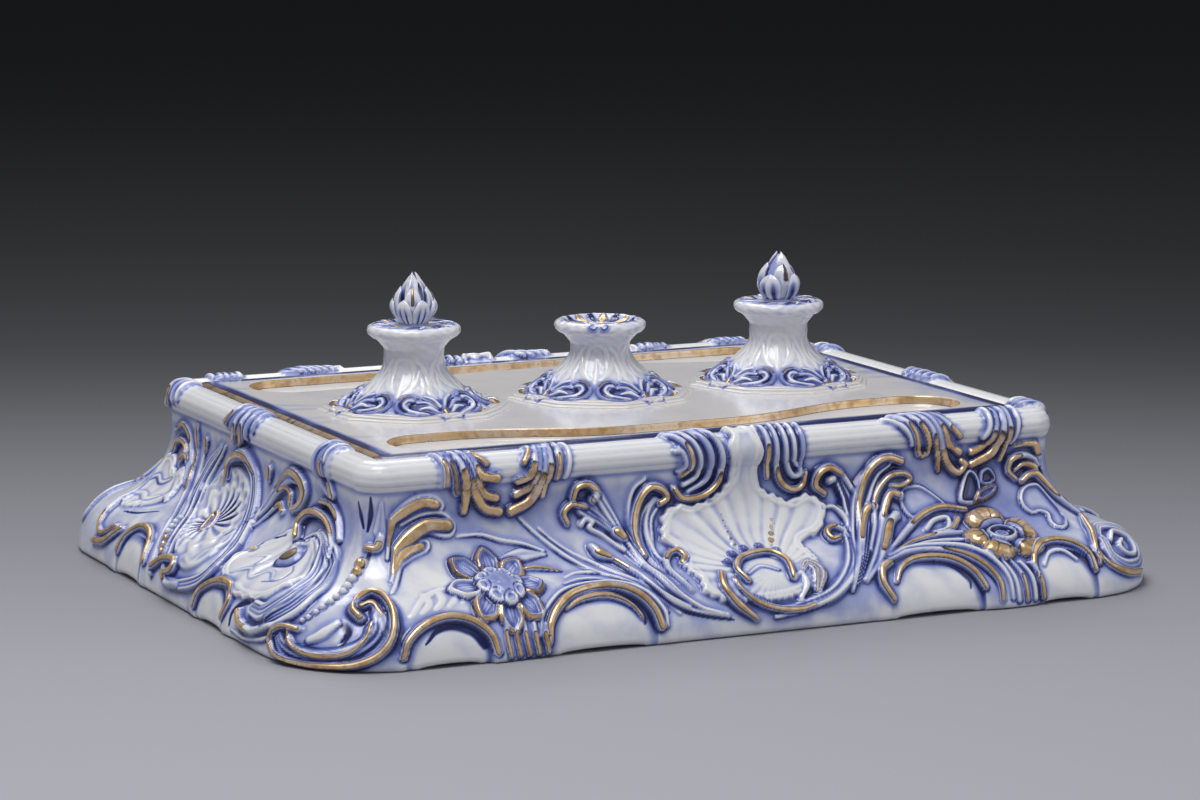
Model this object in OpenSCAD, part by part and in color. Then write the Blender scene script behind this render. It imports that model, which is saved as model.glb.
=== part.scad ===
/* [Deck] */
// Length of the deck over its gilded bevel
deck_l = 266; // [262:1:300]
// Width of the deck over its gilded bevel
deck_w = 195; // [186:1:230]
// Height of the deck above the table
deck_h = 67; // [62:1:76]
// Thickness of the deck
deck_t = 5; // [4:0.5:5]
// Width of the gilded bevel round the deck
bevel_w = 3; // [2:0.5:5]
// How far the gilded bevel falls
bevel_drop = 1; // [0.5:0.1:2]

/* [Rim moulding] */
// Radius of the reeded half round
rim_r = 6.8; // [6.2:0.1:7.4]
// How far the half round stands out from the deck's edge
rim_out = 11.4; // [10.6:0.1:12.4]
// Height of the rim above the top of the skirt
rim_h = 13; // [12.6:0.1:14]
// How far the crest of the rim rises above the deck
rim_rise = 0.4; // [0:0.1:1]
// Number of reeds on the half round
reed_count = 7; // [5:1:9]
// Depth of the grooves between the reeds
reed_depth = 0.5; // [0.2:0.1:0.8]
// Width of the ledge that carries the deck
ledge_w = 5; // [3:0.5:7]

/* [Skirt] */
// How far the top of the skirt stands out from the deck's edge
neck_out = 9.6; // [9:0.1:10.2]
// Height of the straight neck under the rim
neck_h = 4; // [3:0.5:6]
// Radius of the hollow upper curve
cove_r = 28; // [25:0.5:31]
// Radius of the round lower curve
bell_r = 23; // [20:0.5:25]
// How far the wall leans out where the two curves meet, in degrees
lean = 75; // [70:1:78]
// Thickness of the skirt's wall
skirt_t = 6; // [5:0.5:7]
// Span of the wide low arches in the long walls
wide_arch_w = 44; // [38:1:50]
// Rise of the wide arches
wide_arch_h = 5.5; // [3:0.5:9]
// Distance of a wide arch from the deck's end
wide_arch_in = 65; // [62:1:69]
// Span of the narrow low arches in the long walls
narrow_arch_w = 28; // [24:1:32]
// Rise of the narrow arches
narrow_arch_h = 4; // [2:0.5:8]
// Distance of a narrow arch from the deck's end
narrow_arch_in = 6; // [4:1:9]
// Span of the low arches in the short walls
end_arch_w = 34; // [30:1:40]
// Rise of the arches in the short walls
end_arch_h = 4; // [2:0.5:8]
// Distance of an end arch from the deck's side
end_arch_in = 51; // [48:1:56]

/* [Carving] */
// How far the main carved forms stand out from the skirt
carve_rise = 2.2; // [1.5:0.1:2.5]
// Width of the shell in the middle of a long side
shell_w = 67; // [56:1:70]
// Height of the shell over its base
shell_h = 30; // [26:1:32]
// Scallops along the edge of the shell
shell_lobes = 9; // [7:2:13]
// Distance from the middle of a long side to the middle of the shell
shell_x = 6; // [0:1:8]
// Width of the rosette with eight petals
rosette_w = 36; // [30:1:38]
// Distance from the deck's end to the middle of the rosette
rosette_in = 33.5; // [28:0.5:36]
// Width of the flower with five petals
flower_w = 31; // [26:1:34]
// Distance from the deck's end to the middle of the flower
flower_in = 26; // [22:0.5:30]
// Width of the oval medallion on a short side
medallion_w = 46; // [38:1:50]
// Width of the bands over the wide arches and of the scrolls
band_w = 3.6; // [3:0.2:5]

/* [Pen troughs] */
// Distance from the deck's end to a trough
trough_end_margin = 13; // [11:1:26]
// Width of a trough at the middle of its length
trough_mid_w = 20; // [18:0.5:24]
// Width of a trough at its ends
trough_end_w = 36; // [28:0.5:38]
// Distance from the deck's edge to a trough
trough_margin = 8; // [7:0.5:11]
// Depth of a trough
trough_depth = 5.5; // [5.1:0.1:7]
// Thickness of a trough's floor and sides
trough_t = 3; // [2.5:0.5:3.5]

/* [Wells and cups] */
// Distance of an outer well from the deck's end
well_in = 54; // [51:0.5:56]
// Inner radius of a well
well_r = 20; // [18:0.5:21]
// Depth of a well below the deck's top
well_depth = 45; // [38:1:50]
// Thickness of a well's wall and floor
well_t = 3.5; // [2.5:0.5:4]
// Gap between a cup and its well
cup_gap = 1; // [0.5:0.1:1.5]
// Thickness of a cup's wall and floor
cup_t = 3; // [2:0.5:4]
// How far a cup's flange laps the deck
flange_w = 2; // [1:0.1:2.2]
// Thickness of a cup's flange
flange_t = 2; // [1.5:0.1:2.2]

/* [Covers] */
// Radius of a cover at its base
cover_r = 28.8; // [28.4:0.2:30]
// Radius of a cover's neck
cover_neck_r = 11.6; // [11:0.1:13]
// Height of a cover's upright base lip
lip_h = 1.5; // [1:0.1:2]
// Height at which a cover's flare has become the neck
flare_h = 18; // [16:0.5:20]
// Steepness of the flare
flare_power = 1.55; // [1.4:0.05:1.8]
// Height of an ink cover's neck, up to the cone under its disc
ink_neck_h = 24.3; // [22:0.1:27]
// Height of the sander cover's neck, up to the cone under its disc
sander_neck_h = 21.4; // [20.5:0.1:24]
// Radius of the disc on top of a cover
disc_r = 18; // [16:0.2:20]
// Height of the cone under a disc
disc_cone_h = 4; // [3:0.1:5]
// Thickness of a disc at its edge
disc_t = 4.4; // [4:0.1:6]
// Thickness of a cover's wall
cover_t = 2.6; // [2:0.1:2.8]
// Width of the raised collar round a cover
collar_w = 4.6; // [3:0.1:5]
// Height of the collar above the deck
collar_h = 2.6; // [1.5:0.1:4]
// Gap between a cover and its collar
collar_gap = 0.6; // [0.4:0.1:1]
// Radius of the ears on the collar
ear_r = 4.2; // [3.5:0.1:4.6]
// Number of ears on the collar
ear_count = 8; // [4:1:8]
// Radius of the sander's dished top
dish_r = 14; // [13.6:0.1:15]
// Depth of the sander's dished top
dish_depth = 2.4; // [1.5:0.1:3]
// Radius of the sander's shaking holes
sand_hole_r = 0.9; // [0.6:0.1:1]
// Number of holes in the sander's ring
sand_hole_count = 8; // [6:1:10]
// Radius of the ring of holes
sand_ring_r = 5.4; // [4.6:0.1:6]

/* [Finials] */
// Height of a flame finial
finial_h = 20; // [16:0.5:24]
// Largest radius of a flame finial
finial_r = 9.4; // [8:0.1:10.5]
// Radius of a finial's foot
finial_foot_r = 5.6; // [4.5:0.1:7]
// Height of a finial's widest part
finial_belly_h = 7.4; // [6:0.1:8]

/* [Hidden] */
$fn = 96;
over = 1;                       // overrun of a cutter past the face that it cuts
half_turn = 180;
half_l = deck_l / 2;
half_w = deck_w / 2;
skirt_top = deck_h - rim_h;
cove_top = skirt_top - neck_h;
deck_under = deck_h - deck_t;
arc_step = 5;

blue_wash = [0.62, 0.68, 0.86];
white_glaze = [0.90, 0.91, 0.93];
stone_white = [0.84, 0.84, 0.82];

// The ogee skirt

// Points of the hollow curve and of the round curve, moved inwards by inset, measured out from
// the deck's edge and up from the table
function cove_points(inset) = [for (a = [0 : arc_step : lean])
    [neck_out + cove_r - (cove_r + inset) * cos(a), cove_top - (cove_r + inset) * sin(a)]];
bell_x = neck_out + cove_r - (cove_r + bell_r) * cos(lean);
bell_z = cove_top - (cove_r + bell_r) * sin(lean);
function bell_points(inset) = [for (a = [lean - arc_step : -arc_step : 0])
    [bell_x + (bell_r - inset) * cos(a), bell_z + (bell_r - inset) * sin(a)]];
skirt_foot = bell_x + bell_r;
function reverse(list) = [for (i = [len(list) - 1 : -1 : 0]) list[i]];

// Section of the skirt, standing out by rise and reaching in by depth
module skirt_section(rise, depth) {
    low = min(0, bell_z) - over;
    outer = concat([[neck_out + rise, skirt_top]], cove_points(-rise), bell_points(-rise),
        [[skirt_foot + rise, low]]);
    inner = concat([[neck_out - depth, skirt_top]], cove_points(depth), bell_points(depth),
        [[skirt_foot - depth, low]]);
    intersection() {
        polygon(concat(outer, reverse(inner)));
        square([skirt_foot + rise + over, skirt_top]);
    }
}

// A low arch under the skirt, as an upright half oval
arch_step = 10;
module arch_outline(w, h) {
    crown = [for (a = [0 : arch_step : 180]) [w / 2 * cos(a), h * sin(a)]];
    polygon(concat(crown, [[-w / 2, -over], [w / 2, -over]]));
}

module arch_cutter(w, h) {
    rotate([90, 0, 0])
        linear_extrude(skirt_foot + carve_rise + over) arch_outline(w, h);
}

// Arches of one long wall, looking along +Y from outside it
module long_wall_arches() {
    translate([0, -half_w, 0])
        for (side = [-1, 1]) {
            translate([side * (half_l - wide_arch_in), 0, 0])
                arch_cutter(wide_arch_w, wide_arch_h);
            translate([side * (half_l - narrow_arch_in), 0, 0])
                arch_cutter(narrow_arch_w, narrow_arch_h);
        }
}

module short_wall_arches() {
    rotate([0, 0, -90])
        for (side = [-1, 1])
            translate([side * (half_w - end_arch_in), -half_l, 0])
                arch_cutter(end_arch_w, end_arch_h);
}

module straight_skirt(length, rise, depth) {
    rotate([90, 0, -90])
        translate([0, 0, -length / 2]) linear_extrude(length) skirt_section(rise, depth);
}

// The main carved forms, as outlines seen square on, with the table at the bottom

oval_step = 15;
carve_root = skirt_t / 2;       // how deep the forms are rooted in the skirt
flower_z = 0.42 * skirt_top;    // height of the middle of a flower
petal_flat = 0.64;              // height of a flower over its width, as the skirt slopes
petal_depth = 0.2;              // how far the notches between petals reach in
lobe_steps = 4;
fan_depth = 0.06;               // how far the notches between scallops reach in
fan_base = 18;                  // height of the shell's base
basin_h = 9;                    // how far the basin hangs below the shell's base
basin_share = 0.72;             // width of the basin, as a share of the shell's
scroll_gap = 4;                 // from the shell to the scrolls beside it
scroll_low = -30;
scroll_high = 60;
arch_band_h = 22;
spray_r = 52;                   // bend of the sprays that rise beside the scrolls
spray_low = 15;
spray_high = 75;
side_scroll_w = 32;
side_scroll_h = 14;
side_scroll_in = 19;            // from the deck's corner to the middle of the side scroll
medallion_out = 14;             // from the middle of a short side to the medallion's
medallion_lobes = 12;
margin = 2;                     // from the forms to the ends and the top of a wall

function oval(w, h, from, to) = [for (a = [from : oval_step : to]) [w / 2 * cos(a), h * sin(a)]];
function notch(i, depth) = 1 - depth * (1 - abs(sin(half_turn * i / lobe_steps)));
function lobed(w, h, lobes, depth, turn) = [for (i = [0 : lobes * lobe_steps - 1])
    let (a = turn * i / (lobes * lobe_steps), k = notch(i, depth))
        [w / 2 * k * cos(a), h * k * sin(a)]];

module arc_band(w, h, from, to) {
    polygon(concat(oval(w, h, from, to), reverse(oval(w - 2 * band_w, h - band_w, from, to))));
}

module shell_outline() {
    fan = lobed(shell_w, shell_h, shell_lobes, fan_depth, half_turn);
    polygon(concat(fan, oval(basin_share * shell_w, basin_h, 180, 360)));
}

module flower_outline(w, petals) {
    polygon(lobed(w, petal_flat * w / 2, petals, petal_depth, 360));
}

module scroll_pair() {
    w = shell_w + 2 * (scroll_gap + band_w);
    h = shell_h + scroll_gap + band_w;
    arc_band(w, h, scroll_low, scroll_high);
    arc_band(w, h, 180 - scroll_high, 180 - scroll_low);
}

module spray_pair() {
    for (side = [-1, 1])
        translate([side * (spray_low + band_w), spray_r + band_w])
            mirror([(1 - side) / 2, 0])
                arc_band(2 * spray_r, spray_r, 360 - spray_high, 360 - spray_low);
}

module long_side_forms() {
    intersection() {
        union() {
            translate([shell_x, fan_base]) {
                shell_outline();
                scroll_pair();
            }
            translate([shell_x, 0]) spray_pair();
            translate([rosette_in - half_l, flower_z]) flower_outline(rosette_w, 8);
            translate([half_l - flower_in, flower_z]) flower_outline(flower_w, 5);
            for (side = [-1, 1])
                translate([side * (half_l - wide_arch_in), 0])
                    arc_band(wide_arch_w + 2 * band_w, arch_band_h, 0, 180);
        }
        translate([-half_l + margin, margin]) square([deck_l - 2 * margin, skirt_top - 2 * margin]);
    }
}

module short_side_forms() {
    intersection() {
        union() {
            translate([-medallion_out, flower_z])
                polygon(lobed(medallion_w, petal_flat * medallion_w / 2, medallion_lobes, fan_depth, 360));
            translate([half_w - side_scroll_in, flower_z])
                arc_band(side_scroll_w, side_scroll_h, 0, 345);
            for (side = [-1, 1])
                translate([side * (half_w - end_arch_in), 0])
                    arc_band(end_arch_w + 2 * band_w, arch_band_h - band_w, 0, 180);
        }
        translate([-half_w + margin, margin]) square([deck_w - 2 * margin, skirt_top - 2 * margin]);
    }
}

// One straight wall with its raised forms
module carved_skirt(length) {
    union() {
        straight_skirt(length, 0, skirt_t);
        intersection() {
            straight_skirt(length, carve_rise, carve_root);
            rotate([90, 0, 0]) linear_extrude(skirt_foot + carve_rise + over) children();
        }
    }
}

module front_wall() {
    color(blue_wash)
        difference() {
            translate([0, -half_w, 0]) carved_skirt(deck_l) long_side_forms();
            long_wall_arches();
        }
}

module back_wall() {
    rotate([0, 0, 180]) front_wall();
}

module left_wall() {
    color(blue_wash)
        difference() {
            rotate([0, 0, -90]) translate([0, -half_l, 0]) carved_skirt(deck_w) short_side_forms();
            short_wall_arches();
        }
}

module right_wall() {
    rotate([0, 0, 180]) left_wall();
}

// A foot is the quarter turn of the skirt about a corner of the deck
module front_right_foot() {
    color(blue_wash)
        difference() {
            translate([half_l, -half_w, 0])
                rotate([0, 0, -90]) rotate_extrude(angle = 90) skirt_section(0, skirt_t);
            long_wall_arches();
        }
}

module front_left_foot() {
    mirror([1, 0, 0]) front_right_foot();
}

module back_right_foot() {
    mirror([0, 1, 0]) front_right_foot();
}

module back_left_foot() {
    rotate([0, 0, 180]) front_right_foot();
}

// The reeded rim

rim_x = rim_out - rim_r;
rim_z = deck_h - rim_r + rim_rise;
bevel_foot = deck_h - bevel_drop;
reed_from = acos(-rim_x / rim_r);
reed_tail = 10;                 // angle between the last reed and the neck
reed_to = reed_tail - acos((neck_out - rim_x) / rim_r);
reed_span = (reed_from - reed_to) / reed_count;
reed_steps = 6;

function reed_radius(a) = rim_r - reed_depth * (1 - abs(sin(half_turn * (reed_from - a) / reed_span)));

module rim_section() {
    reeds = [for (i = [0 : reed_count * reed_steps])
        let (a = reed_from - i * reed_span / reed_steps)
            [max(0, rim_x + reed_radius(a) * cos(a)), rim_z + reed_radius(a) * sin(a)]];
    neck = [[neck_out, skirt_top + over / 2], [neck_out, skirt_top]];
    polygon(concat([[0, skirt_top], [0, bevel_foot]], reeds, neck));
}

module straight_rim(length) {
    rotate([90, 0, -90])
        translate([0, 0, -length / 2]) linear_extrude(length) rim_section();
}

module rim_moulding() {
    color(white_glaze)
        union() {
            for (turn = [0, 180])
                rotate([0, 0, turn]) {
                    translate([0, -half_w, 0]) straight_rim(deck_l);
                    rotate([0, 0, -90]) translate([0, -half_l, 0]) straight_rim(deck_w);
                    translate([half_l, -half_w, 0])
                        rotate([0, 0, -90]) rotate_extrude(angle = 90) rim_section();
                    translate([-half_l, -half_w, 0])
                        rotate([0, 0, 180]) rotate_extrude(angle = 90) rim_section();
                }
            translate([0, 0, skirt_top])
                linear_extrude(deck_under - skirt_top)
                    difference() {
                        square([deck_l, deck_w], center = true);
                        square([deck_l - 2 * ledge_w, deck_w - 2 * ledge_w], center = true);
                    }
        }
}

// The deck, its collars and its pen troughs

trough_l = deck_l - 2 * trough_end_margin;
turn_share = 0.09;              // half of the narrow middle stretch, as a share of a trough's length
blend_share = 0.275;            // stretch over which a trough widens, as a share of its length
trough_turn = turn_share * trough_l;
trough_blend = blend_share * trough_l;
trough_step = 5;

function blend(t) = (1 - cos(half_turn * min(1, max(0, t)))) / 2;
function trough_width(x, inset) = trough_mid_w - 2 * inset
    + (trough_end_w - trough_mid_w) * blend((abs(x) - trough_turn) / trough_blend);
function end_fall(x, half, r) = abs(x) < half - r
    ? 1
    : sqrt(max(0, 1 - pow((abs(x) - half + r) / r, 2)));

// Outline of the front trough, with its outer side straight and its inner side waved
module trough_outline(inset) {
    half = trough_l / 2 - inset;
    r = trough_end_w / 2 - inset;
    base = -half_w + trough_margin + inset;
    xs = [for (a = [0 : trough_step : 180]) -half * cos(a)];
    near_side = [for (x = xs) [x, base + trough_width(x, inset) / 2 * (1 - end_fall(x, half, r))]];
    far_side = [for (x = reverse(xs)) if (abs(x) < half - 0.001)
        [x, base + trough_width(x, inset) / 2 * (1 + end_fall(x, half, r))]];
    polygon(concat(near_side, far_side));
}

module front_pen_trough() {
    color(white_glaze)
        translate([0, 0, deck_h - trough_depth - trough_t])
            difference() {
                linear_extrude(trough_depth + trough_t) trough_outline(0);
                translate([0, 0, trough_t]) linear_extrude(trough_depth + over) trough_outline(trough_t);
            }
}

module rear_pen_trough() {
    mirror([0, 1, 0]) front_pen_trough();
}

// Deck slab across its width, with the bevel on both edges
module deck_slab(w, length) {
    section = [[-w / 2, deck_under], [w / 2, deck_under], [w / 2, bevel_foot],
        [w / 2 - bevel_w, deck_h], [-w / 2 + bevel_w, deck_h], [-w / 2, bevel_foot]];
    rotate([90, 0, 0]) translate([0, 0, -length / 2]) linear_extrude(length) polygon(section);
}

pitch = half_l - well_in;
collar_in = cover_r + collar_gap;
collar_out = collar_in + collar_w;

// The collar with its ears, rooted in the thickness of the deck
module collar() {
    linear_extrude(collar_h + over) {
        circle(r = collar_out);
        for (i = [0 : ear_count - 1])
            rotate([0, 0, (i + 1 / 2) * 360 / ear_count])
                translate([collar_out - over, 0]) circle(r = ear_r);
    }
}

module deck() {
    color(white_glaze)
        difference() {
            union() {
                intersection() {
                    deck_slab(deck_l, deck_w);
                    rotate([0, 0, 90]) deck_slab(deck_w, deck_l);
                }
                for (x = [-pitch, 0, pitch])
                    translate([x, 0, deck_h - over]) collar();
            }
            for (x = [-pitch, 0, pitch]) {
                translate([x, 0, deck_h]) cylinder(h = collar_h + over, r = collar_in);
                translate([x, 0, deck_under - over]) cylinder(h = deck_t + 2 * over, r = well_r);
            }
            for (side = [0, 1])
                mirror([0, side, 0])
                    translate([0, 0, deck_under - over])
                        linear_extrude(deck_t + 2 * over) trough_outline(0);
        }
}

// Wells under the deck and the cups that stand in them

module well(x) {
    color(white_glaze)
        translate([x, 0, deck_h - well_depth - well_t])
            difference() {
                cylinder(h = well_depth + well_t - deck_t, r = well_r + well_t);
                translate([0, 0, well_t]) cylinder(h = well_depth, r = well_r);
            }
}

cup_r = well_r - cup_gap;
cup_h = well_depth - cup_gap;

module cup(x, shade) {
    color(shade)
        translate([x, 0, deck_h - cup_h])
            difference() {
                union() {
                    cylinder(h = cup_h + flange_t, r = cup_r);
                    translate([0, 0, cup_h]) cylinder(h = flange_t, r = well_r + flange_w);
                }
                translate([0, 0, cup_t]) cylinder(h = cup_h + flange_t, r = cup_r - cup_t);
            }
}

module left_well() {
    well(-pitch);
}

module middle_well() {
    well(0);
}

module right_well() {
    well(pitch);
}

module left_ink_cup() {
    cup(-pitch, white_glaze);
}

module sand_cup() {
    cup(0, stone_white);
}

module right_ink_cup() {
    cup(pitch, white_glaze);
}

// Bell covers with their discs and finials

flare_steps = 12;

function flare_radius(h) = cover_neck_r
    + (cover_r - cover_neck_r) * pow(1 - min(1, max(0, (h - lip_h) / (flare_h - lip_h))), flare_power);

disc_round = disc_t / 2;
disc_sweep = 60;                // half angle of the rounded edge of a disc
disc_step = 20;
function disc_edge(base) = [for (a = [-disc_sweep : disc_step : disc_sweep])
    [disc_r - disc_round + disc_round * cos(a), base + disc_round + disc_round * sin(a)]];

module cover_solid(neck_top) {
    disc_base = neck_top + disc_cone_h;
    flare = [for (i = [0 : flare_steps])
        let (h = lip_h + i * (flare_h - lip_h) / flare_steps)
            [flare_radius(h), h]];
    rotate_extrude()
        polygon(concat([[0, 0], [cover_r, 0]], flare, [[cover_neck_r, neck_top]],
            disc_edge(disc_base), [[0, disc_base + disc_t]]));
}

module cover_hollow(neck_top) {
    hollow = [for (i = [0 : flare_steps])
        let (h = i * (flare_h - cover_t) / flare_steps)
            [flare_radius(h + cover_t) - cover_t * (1 + i / flare_steps) / 2, h]];
    bore = [[cover_neck_r - cover_t, neck_top], [0, neck_top]];
    rotate_extrude()
        polygon(concat([[0, -over], [hollow[0][0], -over]], hollow, bore));
}

module ink_cover(x) {
    color(blue_wash)
        translate([x, 0, deck_h])
            difference() {
                cover_solid(ink_neck_h);
                cover_hollow(ink_neck_h);
            }
}

sander_top = sander_neck_h + disc_cone_h + disc_t;

module sander_cover() {
    color(blue_wash)
        translate([0, 0, deck_h])
            difference() {
                cover_solid(sander_neck_h);
                cover_hollow(sander_top - dish_depth - cover_t);
                translate([0, 0, sander_top - dish_depth]) cylinder(h = dish_depth + over, r = dish_r);
                translate([0, 0, sander_neck_h]) cylinder(h = sander_top, r = sand_hole_r);
                for (i = [0 : sand_hole_count - 1])
                    rotate([0, 0, i * 360 / sand_hole_count])
                        translate([sand_ring_r, 0, sander_neck_h])
                            cylinder(h = sander_top, r = sand_hole_r);
            }
}

module left_ink_cover() {
    ink_cover(-pitch);
}

module right_ink_cover() {
    ink_cover(pitch);
}

finial_steps = 10;
flame_power = 1.6;              // how full the flame stays towards its tip
finial_base = deck_h + ink_neck_h + disc_cone_h + disc_t;

module finial(x) {
    rise = [for (i = [0 : finial_steps / 2])
        let (t = 2 * i / finial_steps)
            [finial_foot_r + (finial_r - finial_foot_r) * sin(half_turn / 2 * t), finial_belly_h * t]];
    flame = [for (i = [1 : finial_steps])
        let (t = i / finial_steps)
            [finial_r * (1 - pow(t, flame_power)), finial_belly_h + (finial_h - finial_belly_h) * t]];
    color(blue_wash)
        translate([x, 0, finial_base]) rotate_extrude() polygon(concat([[0, 0]], rise, flame));
}

module left_finial() {
    finial(-pitch);
}

module right_finial() {
    finial(pitch);
}

deck();
rim_moulding();
front_wall();
back_wall();
left_wall();
right_wall();
front_left_foot();
front_right_foot();
back_left_foot();
back_right_foot();
front_pen_trough();
rear_pen_trough();
left_well();
middle_well();
right_well();
left_ink_cup();
sand_cup();
right_ink_cup();
left_ink_cover();
sander_cover();
right_ink_cover();
left_finial();
right_finial();
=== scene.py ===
"""Porcelain desk inkstand: its moulded relief, painted cobalt and gilding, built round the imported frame."""

import logging
import math
from collections.abc import Callable, Iterable
from dataclasses import dataclass, replace
from enum import Enum
from functools import partial

import bmesh
import bpy
import numpy as np
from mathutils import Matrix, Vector


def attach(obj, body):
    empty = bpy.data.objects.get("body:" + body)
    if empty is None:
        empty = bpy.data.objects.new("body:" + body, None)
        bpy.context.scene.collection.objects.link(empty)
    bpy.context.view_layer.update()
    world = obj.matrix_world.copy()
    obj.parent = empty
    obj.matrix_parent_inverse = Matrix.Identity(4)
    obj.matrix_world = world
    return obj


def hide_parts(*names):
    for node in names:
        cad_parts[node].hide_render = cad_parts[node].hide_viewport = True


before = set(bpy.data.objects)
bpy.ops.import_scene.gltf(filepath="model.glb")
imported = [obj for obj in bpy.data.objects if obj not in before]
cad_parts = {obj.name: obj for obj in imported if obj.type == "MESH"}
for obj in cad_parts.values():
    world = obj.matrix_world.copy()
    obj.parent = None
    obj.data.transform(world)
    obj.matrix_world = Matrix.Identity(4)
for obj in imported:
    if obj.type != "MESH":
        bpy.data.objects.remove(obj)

LOG = logging.getLogger("inkstand")
MM = 0.001
SEED = 7
Array = np.ndarray
Pair = tuple[float, float]
Points = tuple[Pair, ...]
Placing = Callable[[Array, Array], Array]
Turning = Callable[[float], float]
Value = bpy.types.NodeSocket | float | tuple[float, ...]


class Paint(Enum):
    """What the painter laid on a surface, as its shares of gold and of cobalt."""

    WHITE = (0.0, 0.16)
    WASH = (0.0, 0.33)
    BLUE = (0.0, 0.5)
    NAVY = (0.0, 1.0)
    GOLD = (1.0, 0.0)
    DULL = (0.75, 0.45)


class Form(Enum):
    """Cross-section of a modelled stroke."""

    ROLL = "half round"
    LEAF = "round lobe with a middle groove"
    BAND = "hollow between two raised edges"
    LINE = "painted groove"


@dataclass(frozen=True)
class Stroke:
    """One stroke of the ornament, laid along a smooth curve.

    Attributes:
        form: Cross-section.
        widths: Half widths in mm, spread evenly from start to end.
        height: Height of the crest in mm.
        points: Control points in mm, along and up the surface.
        crest: Paint on the raised part.
        hollow: Paint between the raised edges, or beside the crest of a leaf.
        gilt: Share of the length, from and to, over which a golden crest is gilded.
        edge: Strength of the cobalt pooled beside the stroke, laid heavier below it as painted shadow.
        lift: Height of what the stroke lies on, in mm.
    """

    form: Form
    widths: tuple[float, ...]
    height: float
    points: Points
    crest: Paint = Paint.WHITE
    hollow: Paint = Paint.BLUE
    gilt: tuple[float, float] = (0.0, 1.0)
    edge: float = 0.75
    lift: float = 0.0


def smooth(x: Array, low: float, high: float) -> Array:
    """Soft step from 0 at low to 1 at high."""
    t = np.clip((x - low) / (high - low), 0.0, 1.0)
    return t * t * (3.0 - 2.0 * t)


def swell(x: Array, width: float) -> Array:
    """Soft swelling, 1 at 0 and fading over the width."""
    return np.exp(-((x / width) ** 2))


def run_along(points: Array) -> Array:
    """Distance of each point from the first, along the line through them."""
    return np.concatenate([[0], np.cumsum(np.linalg.norm(np.diff(points, axis=0), axis=1))])


def spline(points: Array, per: int = 7, closed: bool = False) -> Array:
    """Catmull-Rom curve through the points.

    Args:
        points: Control points, one row each.
        per: Steps between two control points.
        closed: True where the last point runs on into the first.

    Returns:
        The curve's points, one row each.
    """
    p = np.asarray(points, float)
    if len(p) < 3:
        t = np.linspace(0, 1, per + 1)[:, None]
        return p[0] * (1 - t) + p[-1] * t
    ext = np.vstack([p[-1], p, p[:2]]) if closed else np.vstack([2 * p[0] - p[1], p, 2 * p[-1] - p[-2]])
    out = []
    for i in range(len(ext) - 3):
        a, b, c, d = ext[i : i + 4]
        for t in np.arange(per) / per:
            out.append(0.5 * (2 * b + (c - a) * t + (2 * a - 5 * b + 4 * c - d) * t**2
                + (3 * b - a - 3 * c + d) * t**3))
    if not closed:
        out.append(p[-1])
    return np.array(out)


def blur(a: Array, sigma: Pair, wrap: bool) -> Array:
    """Gaussian blur of a grid.

    Args:
        a: Grid of rows and columns.
        sigma: Spread in rows and in columns.
        wrap: True where the last column runs on into the first.

    Returns:
        The blurred grid.
    """
    for axis, s in ((0, sigma[0]), (1, sigma[1])):
        reach = max(1, int(3 * s))
        pad = [(reach, reach) if k == axis else (0, 0) for k in (0, 1)]
        ext = np.pad(a, pad, mode="wrap" if wrap and axis == 1 else "edge")
        n = a.shape[axis]
        total, weight = np.zeros_like(a), 0.0
        for k in range(2 * reach + 1):
            w = math.exp(-0.5 * ((k - reach) / s) ** 2)
            total += w * (ext[k : k + n] if axis == 0 else ext[:, k : k + n])
            weight += w
        a = total / weight
    return a


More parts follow.
